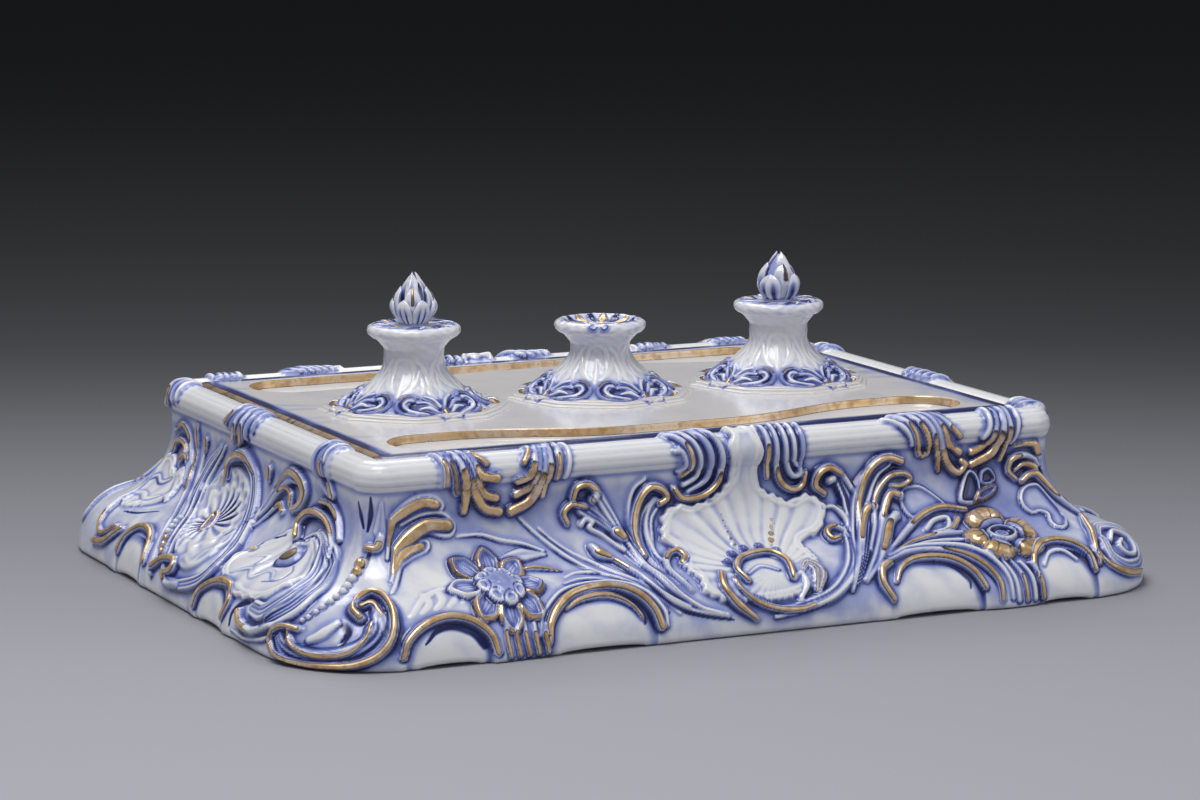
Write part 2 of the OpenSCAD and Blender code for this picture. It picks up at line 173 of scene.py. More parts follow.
class Relief:
    """A grid of surface points that strokes are modelled and painted on."""

    def __init__(self, base: Array, normal: Array, wrap: bool, place: Placing) -> None:
        """Keeps the bare surface.

        Args:
            base: Points of the bare surface in mm, rows by columns by 3.
            normal: Outward unit normals of the same grid.
            wrap: True where the last column runs on into the first.
            place: Function from along and up, in mm, to points on the bare surface.
        """
        self.base, self.normal, self.wrap, self.place = base, normal, wrap, place
        self.shape = base.shape[:2]
        self.flat = base.reshape(-1, 3)
        count = len(self.flat)
        self.height = np.zeros(count)
        self.gold = np.zeros(count)
        self.blue = np.full(count, 0.17)
        self.cover = np.zeros(count)
        self.soft = 0.45
        self.full = 1.18

    def near(self, pts: Array, margin: float) -> Array:
        """Indices of the grid points within a margin of some points' box."""
        lo, hi = pts.min(0) - margin, pts.max(0) + margin
        return np.nonzero(((self.flat > lo) & (self.flat < hi)).all(1))[0]

    def paint(self, sel: Array, mask: Array, gold: Array, blue: Array) -> None:
        """Lays paint over what was there, by a mask from 0 to 1."""
        self.gold[sel] = self.gold[sel] * (1 - mask) + gold * mask
        self.blue[sel] = self.blue[sel] * (1 - mask) + blue * mask

    def raise_to(self, sel: Array, where: Array, height: Array) -> None:
        """Raises the chosen points at least to a height."""
        self.height[sel] = np.where(where, np.maximum(self.height[sel], height), self.height[sel])

    def ink(self, sel: Array, blue: Array) -> None:
        """Brings the cobalt of the points at least to a strength."""
        self.blue[sel] = np.maximum(self.blue[sel], blue)

    def hide(self, sel: Array, mask: Array) -> None:
        """Notes that ornament covers the points."""
        self.cover[sel] = np.maximum(self.cover[sel], mask)

    def lay(self, s: Stroke) -> None:
        """Models and paints one stroke.

        Args:
            s: The stroke.
        """
        curve = spline(np.array(s.points))
        pts = self.place(curve[:, 0], curve[:, 1])
        run = run_along(pts)
        t = run / run[-1]
        w = np.interp(t, np.linspace(0, 1, len(s.widths)), s.widths)
        w = w if s.form in (Form.LINE, Form.LEAF) else 0.12 + self.full * w
        sel = self.near(pts, w.max() + 2.4)
        if not len(sel):
            return
        a, step = pts[:-1], np.diff(pts, axis=0)
        rel = self.flat[sel][:, None] - a
        along = np.clip((rel * step).sum(2) / np.maximum((step**2).sum(1), 1e-9), 0, 1)
        dist = np.linalg.norm(rel - along[..., None] * step, axis=2)
        ws = w[:-1] * (1 - along) + w[1:] * along
        q_all = dist / ws
        j = q_all.argmin(1)
        rows = np.arange(len(sel))
        q, d, wide = q_all[rows, j], dist[rows, j], ws[rows, j]
        tt = t[j] + along[rows, j] * (t[j + 1] - t[j])
        inner = np.clip(q, 0, 1)
        dome = np.sqrt(np.maximum(1 - inner**2, 0))
        if s.form is Form.ROLL:
            shape, crest = dome**1.3, smooth(q, 0.95, 0.35) if s.crest.value[0] else smooth(q, 0.9, 0.1)
        elif s.form is Form.LEAF:
            shape, crest = dome * (1 - 0.25 * swell(q, 0.22)), smooth(q, 0.95, 0.75)
        elif s.form is Form.BAND:
            ridge = 0.5 + 0.5 * np.cos(2 * math.pi * q / (0.88 if w.max() < 2.4 else 0.58))
            rim = np.sqrt(np.maximum(1 - np.clip((inner - 0.72) / 0.28, 0, 1) ** 2, 0))
            shape, crest = (0.5 + 0.22 * inner + 0.28 * ridge) * rim, smooth(ridge, 0.35, 0.95) * smooth(q, 1.0, 0.94)
        else:
            shape, crest = -np.exp(-2.0 * q**2), smooth(q, 1.1, 0.5)
        taper = np.clip(wide / max(w.max(), 1e-6), 0, 1) ** 0.6
        on = q < 1
        if s.form is Form.LINE:
            self.height[sel] += s.height * shape * (q < 2)
            self.paint(sel, crest, *s.crest.value)
            return
        raised = s.lift + s.height * taper * shape
        self.raise_to(sel, on, raised)
        start, stop = s.gilt
        gilded = smooth(tt, start - 0.12, start + 0.1) if start > 0 else 1.0
        gilded = gilded * (smooth(tt, stop + 0.12, stop - 0.1) if stop < 1 else 1.0)
        gold = s.crest.value[0] * crest * gilded + s.hollow.value[0] * (1 - crest) * (s.form is Form.BAND)
        under = 0.18 + s.hollow.value[1] if s.form is Form.BAND else (0.8 if s.form is Form.LEAF else 0.52) * s.edge
        plain = s.crest.value[1] + 0.42 * s.crest.value[0] * (1 - gilded)
        blue = plain * crest + under * (1 - crest)
        self.paint(sel, smooth(q, 1.08, 0.96), gold, blue)
        past = np.maximum(d - wide, 0)
        # Painted shadow: the pooled cobalt beside a stroke is laid heavier below it than above.
        painted_shadow_below = smooth((rel[rows, j] - along[rows, j, None] * step[j])[:, 2] / np.maximum(d, 0.1), 0.35, -0.45)
        halo = s.edge * ((0.45 + 0.65 * painted_shadow_below) * swell(past, 0.42 + 0.25 * painted_shadow_below) + 0.11 * swell(past, 1.8))
        brushed = 0.75 + 0.25 * np.sin(run[-1] * tt * 0.3 + len(s.points))
        self.ink(sel, halo * (q > 0.97) * brushed)
        self.hide(sel, smooth(q, 1.1, 0.9))

    def patch(self, points: Points, step: int = 6) -> tuple[Array, Array, Array, Array]:
        """Finds the grid points near a closed outline.

        Args:
            points: Control points of the outline, in mm along and up the surface.
            step: Steps between two control points.

        Returns:
            Indices, distance inside the edge (negative outside), and two flat coordinates from the middle.
        """
        curve = spline(np.array(points), step, closed=True)
        pts = self.place(curve[:, 0], curve[:, 1])
        mid = pts.mean(0)
        n = self.normal.reshape(-1, 3)[((self.flat - mid) ** 2).sum(1).argmin()]
        e1 = np.cross((0, 0, 1), n)
        e1 /= np.linalg.norm(e1)
        e2 = np.cross(n, e1)
        sel = self.near(pts, 3.0)
        frame2 = np.stack([e1, e2], 1)
        p = (self.flat[sel] - mid) @ frame2
        o = (pts - mid) @ frame2
        a, b = o, np.roll(o, -1, 0)
        d = b - a
        rel = p[:, None] - a
        t = np.clip((rel * d).sum(2) / np.maximum((d**2).sum(1), 1e-9), 0, 1)
        dist = np.linalg.norm(rel - t[..., None] * d, axis=2).min(1)
        crosses = ((a[:, 1] > p[:, 1:2]) != (b[:, 1] > p[:, 1:2])) & (
            p[:, :1] < (b[:, 0] - a[:, 0]) * (p[:, 1:2] - a[:, 1]) / (b[:, 1] - a[:, 1] + 1e-12) + a[:, 0]
        )
        inside = crosses.sum(1) % 2 == 1
        return sel, np.where(inside, dist, -dist), p[:, 0], p[:, 1]

    def petal(
        self,
        points: Points,
        height: float,
        rim: float = 1.3,
        dish: float = 0.45,
        crest: Paint = Paint.WHITE,
        hollow: Paint = Paint.BLUE,
        edge: float = 0.85,
        lift: float = 0.0,
    ) -> None:
        """Models a cupped petal or leaf blade with a rolled rim.

        Args:
            points: Control points of its outline.
            height: Height of the rim in mm.
            rim: Width of the rim in mm.
            dish: How far the middle lies below the rim, as a share of the height.
            crest: Paint on the rim.
            hollow: Paint in the middle.
            edge: Strength of the cobalt round it.
            lift: Height of what it lies on, in mm.
        """
        sel, deep, _, _ = self.patch(points)
        on = deep > 0
        q = np.clip(deep / rim, 0, 2)
        rise = smooth(q, 0, 1) ** 0.7 if rim < 2 else np.sqrt(np.maximum(1 - (1 - q) ** 2, 0))
        roll = np.where(q < 1, rise, 1 - dish * smooth(q, 1.0, 2.0))
        self.height[sel] = np.where(on, np.maximum(self.height[sel] * (lift == 0), lift + height * roll),
            self.height[sel])
        ring = smooth(q, 1.7, 1.1)
        gold = crest.value[0] * ring + hollow.value[0] * (1 - ring)
        pool = 0.3 * swell(deep / rim - 1.7, 0.6) - 0.22 * smooth(deep / rim, 2.5, 5.0)
        blue = crest.value[1] * ring + (hollow.value[1] + pool) * (1 - ring)
        self.paint(sel, smooth(deep, -0.4, 0.3), gold, blue)
        halo = edge * swell(np.maximum(-deep, 0), 0.6) * (deep < 0)
        self.ink(sel, halo)
        self.hide(sel, smooth(deep, -0.3, 0.1))

    def bead(self, at: Pair, radius: float, height: float, paint: Paint, edge: float = 0.8, lift: float = 0.0) -> None:
        """Models one round bead.

        Args:
            at: Its middle, along and up.
            radius: Radius in mm.
            height: Height in mm.
            paint: Paint on the bead.
            edge: Strength of the cobalt round it.
            lift: Height of what it lies on, in mm.
        """
        c = self.place(np.array([at[0]]), np.array([at[1]]))[0]
        sel = self.near(c[None], radius + 1.5)
        d = np.linalg.norm(self.flat[sel] - c, axis=1)
        q = d / radius
        self.height[sel] = np.maximum(self.height[sel],
            np.where(q < 1, lift + height * np.sqrt(np.maximum(1 - q**2, 0)), 0))
        gold, blue = paint.value
        self.paint(sel, smooth(q, 1.05, 0.85), gold * smooth(q, 0.95, 0.7), blue)
        self.ink(sel, edge * swell(np.maximum(d - radius, 0), 0.5) * (q > 1))
        self.hide(sel, smooth(q, 1.1, 0.9))

    def settle(self, cell: Pair) -> None:
        """Softens the modelling and lets the cobalt pool in the hollows.

        Args:
            cell: Size of a grid cell in mm, up and along.
        """
        rows, cols = self.shape
        h = self.height.reshape(rows, cols)
        h = blur(h, (self.soft / cell[0], self.soft / cell[1]), self.wrap)
        wide = blur(h, (1.2 / cell[0], 1.2 / cell[1]), self.wrap)
        hollow = (wide - h).ravel()
        self.height = h.ravel()
        self.blue = np.clip(self.blue + np.clip(hollow * 1.0, -0.22, 0.6) * (1 - self.gold), 0, 1)
        self.gold = np.clip(self.gold * (1 - smooth(hollow, 0.25, 0.7)), 0, 1)

    def painted(self) -> tuple[Array, Array]:
        """Grids of the gold and of the cobalt."""
        return self.gold.reshape(self.shape), self.blue.reshape(self.shape)

    def points(self) -> Array:
        """Grid of the finished surface points in mm."""
        return self.base + self.normal * self.height.reshape(self.shape)[..., None]


def grid_normals(points: Array, wrap: bool) -> Array:
    """Unit normals of a grid of points, rows upwards and columns to the right seen from outside.

    Args:
        points: The grid.
        wrap: True where the last column runs on into the first.

    Returns:
        The normals, as a grid.
    """
    ext = np.concatenate([points[:, -1:], points, points[:, :1]], 1) if wrap else points
    along = (ext[:, 2:] - ext[:, :-2]) if wrap else np.gradient(points, axis=1)
    up = np.gradient(points, axis=0)
    n = np.cross(along, up)
    return n / np.maximum(np.linalg.norm(n, axis=2, keepdims=True), 1e-9)


def mesh_object(
    name: str,
    verts: Array,
    faces: list | Array,
    normals: Array | None = None,
    paint: dict[str, Array] | None = None,
) -> bpy.types.Object:
    """Makes a mesh object at the origin.

    Args:
        name: Name of the piece.
        verts: Points in mm.
        faces: Vertex indices of each face, outwards.
        normals: Vertex normals, or None for the mesh's own.
        paint: Values of each named attribute, one for each vertex.

    Returns:
        The linked object.
    """
    mesh = bpy.data.meshes.new(name)
    rows = faces.tolist() if isinstance(faces, Array) else faces
    mesh.from_pydata((np.asarray(verts) * MM).tolist(), [], rows)
    mesh.polygons.foreach_set("use_smooth", [True] * len(mesh.polygons))
    for key, values in (paint or {}).items():
        mesh.attributes.new(key, "FLOAT", "POINT").data.foreach_set("value", np.asarray(values, np.float32))
    if normals is not None:
        mesh.normals_split_custom_set_from_vertices(np.asarray(normals, float).tolist())
    mesh.update()
    obj = bpy.data.objects.new(name, mesh)
    bpy.context.scene.collection.objects.link(obj)
    return obj


def quads(rows: int, cols: int, wrap: bool, loop: bool = False) -> Array:
    """Faces of a grid whose vertices run row by row.

    Args:
        rows: Number of rows.
        cols: Number of columns.
        wrap: True to join the last column to the first.
        loop: True to join the last row to the first.

    Returns:
        Vertex indices, four for each face, outwards for rows upwards and columns to the right.
    """
    r = np.arange(rows if loop else rows - 1)[:, None]
    c = np.arange(cols if wrap else cols - 1)[None]
    r2, c2 = (r + 1) % rows, (c + 1) % cols
    return np.stack([r * cols + c, r * cols + c2, r2 * cols + c2, r2 * cols + c], -1).reshape(-1, 4)


def drawn(
    form: Form, widths: tuple[float, ...], height: float, *run: float, **paint: Paint | float | tuple[float, float]
) -> Stroke:
    """Stroke through places that are written one after another, each along and up."""
    return Stroke(form, widths, height, tuple(zip(run[::2], run[1::2])), **{"edge": 1.0, **paint})


roll, leaf, band = partial(drawn, Form.ROLL), partial(drawn, Form.LEAF), partial(drawn, Form.BAND, edge=0.75)
line = partial(drawn, Form.LINE, crest=Paint.NAVY)
gold_roll, gold_leaf, gold_band = (partial(drawn, form, crest=Paint.GOLD) for form in (Form.ROLL, Form.LEAF, Form.BAND))
GOLD, WHITE, BLUE, NAVY, WASH, DULL = Paint.GOLD, Paint.WHITE, Paint.BLUE, Paint.NAVY, Paint.WASH, Paint.DULL


@dataclass
class Skirt:
    """Ogee skirt on its feet and the reeded rim, as one carved surface.

    Sizes in mm. The section is measured out from the deck's edge and up from the table.
    """

    half_l: float = 133.0
    half_w: float = 97.5
    neck_out: float = 9.6
    skirt_top: float = 54.0
    cove_top: float = 50.0
    cove_r: float = 28.0
    bell_r: float = 23.0
    lean: float = 75.0
    thick: float = 6.0
    rim_r: float = 6.8
    rim_x: float = 4.6
    rim_z: float = 60.6
    bevel_foot: float = 66.0
    corner_run: float = 60.0
    corner_cols: int = 96
    cell: float = 0.5
    rim_cell: float = 0.6
    reed_count: int = 7
    reed_depth: float = 0.3

    def __post_init__(self) -> None:
        """Works out the section and the grid."""
        self.strings: dict[str, list[tuple[float, ...]]] = {}
        lean = math.radians(self.lean)
        both = self.cove_r + self.bell_r
        bell_x = self.neck_out + self.cove_r - both * math.cos(lean)
        bell_z = self.cove_top - both * math.sin(lean)
        pts = [(bell_x + self.bell_r, 0)]
        for a in np.linspace(0, lean, 60):
            pts.append((bell_x + self.bell_r * math.cos(a), bell_z + self.bell_r * math.sin(a)))
        for a in np.linspace(lean, 0, 60)[1:]:
            pts.append((self.neck_out + self.cove_r * (1 - math.cos(a)), self.cove_top - self.cove_r * math.sin(a)))
        pts.append((self.neck_out, self.skirt_top))
        self.neck_index = len(pts) - 1
        low = -math.acos((self.neck_out - self.rim_x) / self.rim_r)
        high = math.acos(-self.rim_x / self.rim_r)
        for a in np.linspace(low, high, 100):
            pts.append((self.rim_x + self.rim_r * math.cos(a), self.rim_z + self.rim_r * math.sin(a)))
        pts.append((0.0, self.bevel_foot))
        self.section = np.array(pts)
        self.run = run_along(self.section)
        self.skirt_run = self.run[self.neck_index]
        self.reed_run = self.run[self.neck_index + 1], self.run[-2]

    def section_at(self, v: Array) -> tuple[Array, Array]:
        """Distance out and height at a run up the section."""
        return np.interp(v, self.run, self.section[:, 0]), np.interp(v, self.run, self.section[:, 1])

    def section_normal(self, v: Array) -> tuple[Array, Array]:
        """Outward direction of the section, out and up.

        Args:
            v: Runs up the section in mm.

        Returns:
            Its two parts.
        """
        a, b = self.section_at(v - 0.4), self.section_at(v + 0.4)
        dx, dz = b[0] - a[0], b[1] - a[1]
        n = np.maximum(np.hypot(dx, dz), 1e-9)
        return dz / n, -dx / n

    def edge_at(self, u: Array) -> tuple[Array, Array, Array, Array]:
        """Point of the deck's edge and outward direction at a run round it.

        Args:
            u: Run in mm, 0 at the middle of the front and positive to the right.

        Returns:
            X and Y of the point, and X and Y of the direction.
        """
        hl, hw, c = self.half_l, self.half_w, self.corner_run
        x = np.clip(u, -hl, hl)
        left = -hl - c - u
        y = np.where(u < -hl - c, -hw + np.clip(left, 0, 2 * hw + 60), -hw)
        turn = np.where(u < 0, np.clip((u + hl) / c, -1, 0), np.clip((u - hl) / c, 0, 1)) * math.pi / 2
        return x, y, np.sin(turn), -np.cos(turn)

    def place(self, u: Array, v: Array) -> Array:
        """Points of the bare surface at runs round and up it.

        Args:
            u: Runs round the deck in mm.
            v: Runs up the section in mm.

        Returns:
            The points in mm.
        """
        x, y, nx, ny = self.edge_at(u)
        r, z = self.section_at(v)
        return np.stack([x + nx * r, y + ny * r, z], -1)

    def arch_rise(self, u: Array) -> Array:
        """Height of the lower edge above the table.

        Args:
            u: Runs round the deck in mm.

        Returns:
            Heights in mm.
        """
        rise = np.zeros_like(u)
        middle_left = -self.half_l - self.corner_run - self.half_w
        arches = [(-67, 17, 1.3), (70, 17, 1.3), (-126, 11, 1.2), (126, 10, 1.2)]
        arches += [(middle_left - 46, 11, 1.2), (middle_left + 46, 11, 1.2)]
        for at, half, high in arches:
            rise = np.maximum(rise, high * np.sqrt(np.maximum(1 - ((u - at) / half) ** 2, 0)))
        return rise

    def make_grid(self) -> None:
        """Lays out the grid over the left side, the front and their corners."""
        hl, hw, c = self.half_l, self.half_w, self.corner_run
        n_side, n_front = int(2 * hw / self.cell), int(2 * hl / self.cell)
        marks = [-hl - c - 2 * hw, -hl - c, -hl, hl, hl + c]
        counts = [n_side, self.corner_cols, n_front, self.corner_cols]
        self.cols = np.concatenate([np.linspace(a, b, n, endpoint=False) for a, b, n in zip(marks, marks[1:], counts)]
            + [[marks[-1]]])
        self.starts = np.concatenate([[0], np.cumsum(counts)])
        n_skirt = int(self.skirt_run / self.cell)
        n_rim = int((self.run[-1] - self.skirt_run) / self.rim_cell)
        self.rows = np.concatenate([np.linspace(0, self.skirt_run, n_skirt, endpoint=False),
            np.linspace(self.skirt_run, self.run[-1], n_rim)])
        self.split = n_skirt
        v = self.rows[:, None] + self.arch_rise(self.cols)[None] * np.clip(1 - self.rows / 22, 0, 1)[:, None]
        u = np.broadcast_to(self.cols, v.shape)
        self.v = v
        x, y, nx, ny = self.edge_at(u)
        r, z = self.section_at(v)
        out, up = self.section_normal(v)
        base = np.stack([x + nx * r, y + ny * r, z], -1)
        normal = np.stack([nx * out, ny * out, up], -1)
        self.relief = Relief(base, normal, False, self.place)
        self.u = u

    def carve(self) -> None:
        """Models and paints the whole relief."""
        rel = self.relief
        u, v = self.u.ravel(), self.v.ravel()
        ends = smooth(u, self.cols[0], self.cols[0] + 8) * smooth(u, self.cols[-1], self.cols[-1] - 8)
        wave = np.sin(u * 0.21 + np.sin(v * 0.13) * 2) * np.sin(v * 0.17 + 1.3) + 0.6 * np.sin(u * 0.47 + v * 0.31)
        skirt = smooth(v, self.skirt_run, self.skirt_run - 4)
        rel.height += 0.14 * wave * ends * skirt
        pale = self.cloud((-126, 33), (16, 14)) + self.cloud((-175, 36), (16, 14))
        pool = self.cloud((116, 50), (24, 20)) + 0.7 * self.cloud((30, 14), (30, 9))
        tint = 0.03 + 0.11 * smooth(v, 40, 70) + 0.06 * wave * ends - 0.14 * pale + 0.3 * pool
        rel.blue += skirt * tint - 0.08 * smooth(v, 8, 0)
        foot = np.zeros(u.shape)
        for at, half, out in ((-108, 14, 1.8), (-40, 9, 1.2), (4, 46, -2.4), (48, 8, 1.4), (103, 13, 1.8),
                (-156, 22, 1.6), (156, 20, 1.2), (-245, 20, 1.6), (-290, 22, -1.6), (-338, 18, 1.4)):
            foot += out * swell(u - at, half)
        rel.height += foot * smooth(v, 20, 2)
        self.niches()
        for group in (self.front_strokes, self.left_strokes, self.corner_strokes, self.wrap_strokes):
            group()
        a0, a1 = self.reed_run
        phase = (v - a0) / (a1 - a0) * self.reed_count
        reed = np.abs(np.sin(np.pi * phase)) - 1
        on_rim = smooth(v, a0 + 0.2, a0 + 1.2) * smooth(v, a1 + 0.6, a1 - 0.4) * (1 - rel.cover)
        thin = 0.1 * np.sin(np.pi * phase * 3 + 0.4) * (0.6 + 0.4 * np.sin(u * 0.05 + phase))
        rel.height += on_rim * (self.reed_depth * reed + thin)
        rel.blue += on_rim * 0.1 * smooth(-reed, 0.5, 1.0) - on_rim * 0.16
        rel.blue += 0.25 * swell(v - a0, 1.0) * (1 - rel.cover)
        rel.settle((self.cell, self.cell))
        lip = np.clip(1 - self.rows / 2.4, 0, 1)[:, None]
        rel.height -= np.broadcast_to(2.0 * (1 - np.sqrt(1 - lip**2)), rel.shape).ravel()

    def cloud(self, at: Pair, half: Pair) -> Array:
        """Soft oval patch of the skirt, 1 in its middle, from its place and its half sizes in mm."""
        u, v = self.u.ravel(), self.v.ravel()
        return np.exp(-(((u - at[0]) / half[0]) ** 2) - ((v - at[1]) / half[1]) ** 2)

    def lay_all(self, strokes: list[Stroke], to_run: Turning | None = None) -> None:
        """Lays strokes whose points a function turns into runs round the deck's edge.

        Args:
            strokes: The strokes.
            to_run: Turns the first number of a point into a run round the deck.
        """
        for s in strokes:
            if to_run is not None:
                s = replace(s, points=tuple((to_run(a), b) for a, b in s.points))
            self.relief.lay(s)

    def string(self, name: str, at: Pair, radius: float, gilded: bool, cobalt: float = 0.1) -> None:
        """Notes a bead for one of the rows and lets the cobalt pool round its seat."""
        self.relief.bead(at, radius + 0.3, 0.2, BLUE, 0.8)
        self.strings.setdefault(name, []).append((*at, radius, float(gilded), cobalt))

    def bead_row(self, name: str, finish: "Porcelain") -> bpy.types.Object:
        """Sets the noted beads on the finished surface.

        Args:
            name: Name of the row.
            finish: Finish of what is built.

        Returns:
            The row as a plain mesh.
        """
        rel, notes = self.relief, np.array(self.strings[name])
        seats = self.place(notes[:, 0], notes[:, 1])
        k = ((rel.flat[None] - seats[:, None]) ** 2).sum(2).argmin(1)
        rise = rel.height[k] + 0.2 * notes[:, 2]
        middles = rel.flat[k] + rel.normal.reshape(-1, 3)[k] * rise[:, None]
        both = np.vstack([middles, middles * (-1, -1, 1)])
        return bead_row(name, both, np.vstack([notes, notes])[:, 2:].T, finish)

    def niche_depth(self, u: Array, v: Array) -> tuple[Array, Array]:
        """Depth of the hollows under the arch bands, and the cobalt in them, laid heavier towards their top and one
        side as painted shade.

        Args:
            u: Runs round the deck's edge.
            v: Runs up the section.

        Returns:
            Depth in mm, and share of cobalt with painted shade in it.
        """
        middle_left = -self.half_l - self.corner_run - self.half_w
        depth, blue = np.zeros(u.shape), np.zeros(u.shape)
        out = self.section_at(v)[0]
        low = smooth(v, 14, 0)
        for at, half, top in ((-67, 21, 21.5), (70, 20, 22), (-126, 15.5, 15.5), (126, 13, 21),
                (middle_left - 46, 14, 18), (middle_left + 46, 14.5, 15.5)):
            side = (u - at) / half
            q = np.abs(side) ** 2.6 + np.abs(v / top) ** 2.8
            wall = 2.6 + 0.9 * np.maximum(out - np.interp(top, self.run, self.section[:, 0]), 0)
            depth = np.maximum(depth, wall * smooth(q, 1.0 + 0.1 * low, 0.7 - 0.42 * low))
            # Painted shade: cobalt heavier towards the top and one side of each hollow, lighter in its middle.
            shade = smooth(q, 0.45, 0.95) * (q < 1.05) * smooth(side + 0.5 * v / top, -0.2, 1.0)
            blue += 0.75 * shade * (1 - 0.6 * low) - 0.12 * smooth(q, 0.95, 0.5)
        return depth, blue

    def niches(self) -> None:
        """Scoops the hollows under the arch bands and lays their cobalt and painted shade."""
        depth, blue = self.niche_depth(self.u.ravel(), self.v.ravel())
        self.relief.height -= depth
        self.relief.blue += blue

    def rosette(self, at: Pair, ring: float, turn: float) -> None:
        """Models the eight-petalled rosette.

        Args:
            at: Its middle, along and up.
            ring: Distance of the petals' middles.
            turn: Angle of the first petal in degrees.
        """
        x0, v0 = at

        def ring_of(radius: float, count: int) -> Points:
            """Control points of a circle round the middle."""
            return spot((radius * math.cos(2 * math.pi * k / count), radius * math.sin(2 * math.pi * k / count))
                for k in range(count))

        def spot(places: Iterable[Pair]) -> Points:
            """Places counted from the middle, drawn out a little up the leaning wall."""
            return tuple((x0 + a, v0 + 1.22 * b) for a, b in places)

        def spun(angle: float, places: Points) -> Points:
            """Places counted outwards and sideways along a direction in degrees."""
            c, s = math.cos(math.radians(angle)), math.sin(math.radians(angle))
            return spot((c * r - s * w, s * r + c * w) for r, w in places)

        golden = {0: DULL, 1: GOLD, 2: DULL, 3: DULL, 5: GOLD, 6: GOLD, 7: GOLD}
        for k in (1, 3, 5, 7, 0, 2, 4, 6):
            long = ring + (2.0 if k in (3, 4) else 0.0)
            shape = ((6, 0), (7.5, 3.4), (long - 5.5, 4.8), (long - 2, 3), (long, 0.4), (long - 2, -3),
                (long - 5.5, -4.8), (7.5, -3.4))
            self.relief.petal(spun(turn + 45 * k, shape), 3.0, 1.1, 0.55, golden.get(k, WHITE), WASH, 1.0, 0.01)
            for w in (-1.5, 0.0, 1.5):
                self.relief.lay(Stroke(Form.LINE, (0.4, 0.3), 0.3, spun(turn + 45 * k, ((8.5, w), (long - 3, 0.6 * w))),
                    BLUE))
        self.relief.petal(ring_of(8.8, 10), 4.2, 3.6, -0.1, BLUE, WASH, 1.0, 0.01)
        for k in range(8):
            shape = ((4.6, 0), (6, 2.3), (8, 2.2), (8.8, 0), (8, -2.2), (6, -2.3))
            self.relief.petal(spun(turn + 10 + 45 * k, shape), 0.9, 0.7, 0.5, WHITE, WASH, 1.0, 2.8)
            vein = spun(turn + 30 + 45 * k, ((0.8, 0), (2.6, 0.5), (4.6, 0)))
            self.relief.lay(Stroke(Form.LINE, (0.3, 0.4, 0.3), 0.25, vein, BLUE))

    def pansy(self, at: Pair) -> None:
        """Models the gilded five-petalled flower with its ringed eye.

        Args:
            at: Its middle, along and up.
        """
        x0, v0 = at
        petals = (
            ((-9, 7), (-10, 12), (-6, 15.5), (0, 16.5), (5, 14), (6, 9), (3, 5), (-4, 4)),
            ((5, 8), (9, 10), (13.5, 8), (15.5, 3), (14, -3), (9, -3), (5, 1)),
            ((5, -4), (9, -5), (14, -4.5), (14.5, -9), (9, -12.5), (3, -12), (1, -8), (2, -5)),
            ((-1, -5), (1, -10), (-3, -13), (-9, -11.5), (-12, -8), (-10, -3.5), (-5, -3)),
            ((-8, 5), (-12.5, 5.5), (-15, 2), (-14.5, -3), (-11, -5.5), (-6, -3), (-4, 2)),
        )
        for shape in petals:
            outline = tuple((x0 + a, v0 + b) for a, b in shape)
            self.relief.petal(outline, 3.6, 3.6, 0.3, GOLD, GOLD, edge=1.0)
            for a, b in shape:
                if math.hypot(a, b) > 9:
                    vein = tuple((x0 + a * f, v0 + b * f) for f in (0.62, 0.75, 0.88))
                    self.relief.lay(Stroke(Form.LINE, (0.4, 0.5), 0.5, vein, DULL))
        c = self.place(np.array([x0]), np.array([v0]))[0]
        sel = self.relief.near(c[None], 12)
        away = smooth(np.linalg.norm(self.relief.flat[sel] - c, axis=1), 6.5, 10.5)
        self.relief.gold[sel] *= away
        self.relief.blue[sel] = self.relief.blue[sel] * away + 0.72 * (1 - away)
        for a, b, count, height, rim, dish, hollow, lift in (
            (6.6, 5.6, 10, 4.2, 1.2, 0.6, NAVY, 0.01),
            (3, 2.6, 8, 1.2, 0.7, 0.5, BLUE, 1.4),
        ):
            turns = np.linspace(0, 2 * math.pi, count, endpoint=False)
            ring = tuple((x0 + a * math.cos(t), v0 + b * math.sin(t)) for t in turns)
            self.relief.petal(ring, height, rim, dish, WASH, hollow, edge=1.0, lift=lift)

    def frilled(self, outline: Points, hub: Pair, ribs: float, lift: float = 1.2) -> None:
        """Models a thin white fan with a ruffled hem.

        Args:
            outline: Control points of its edge.
            hub: Where the ribs start.
            ribs: Ribs in a turn, times two pi.
            lift: Height of the outer part over the inner, in mm.
        """
        sel, deep, _, _ = self.relief.patch(outline, 4)
        rel = self.relief
        u, v = self.u.ravel()[sel] - hub[0], self.v.ravel()[sel] - hub[1]
        ang, rad = np.arctan2(v, u), np.hypot(u, v)
        flute = np.cos(ang * ribs + 0.5 * np.sin(rad * 0.25))
        frill = np.sin(ang * ribs * 1.8 + np.sin(rad * 0.5)) + 0.6 * np.sin(ang * ribs * 0.8)
        edge = deep + 0.45 * frill - 0.2
        body = 0.6 + lift * smooth(rad, 8, 38) + (0.16 + 0.1 * np.sin(ang * 7)) * flute * smooth(rad, 6, 20)
        hem = 0.9 * swell(edge - 0.7, 0.5) + 0.5 * swell(edge - 2.6 - 0.5 * frill, 0.5)
        rise = smooth(edge, 0.0, 0.8) * (body + hem)
        rel.raise_to(sel, edge > 0, rise)
        tone = 0.09 + 0.05 * smooth(-flute, 0.2, 1.0) + 0.12 * swell(edge - 1.7, 0.6)
        rel.paint(sel, smooth(edge, -0.2, 0.5), 0, tone)
        rel.ink(sel, 0.3 * swell(np.maximum(-edge, 0), 1.2) * (edge < 0))
        rel.hide(sel, smooth(edge, -0.5, 0.5))

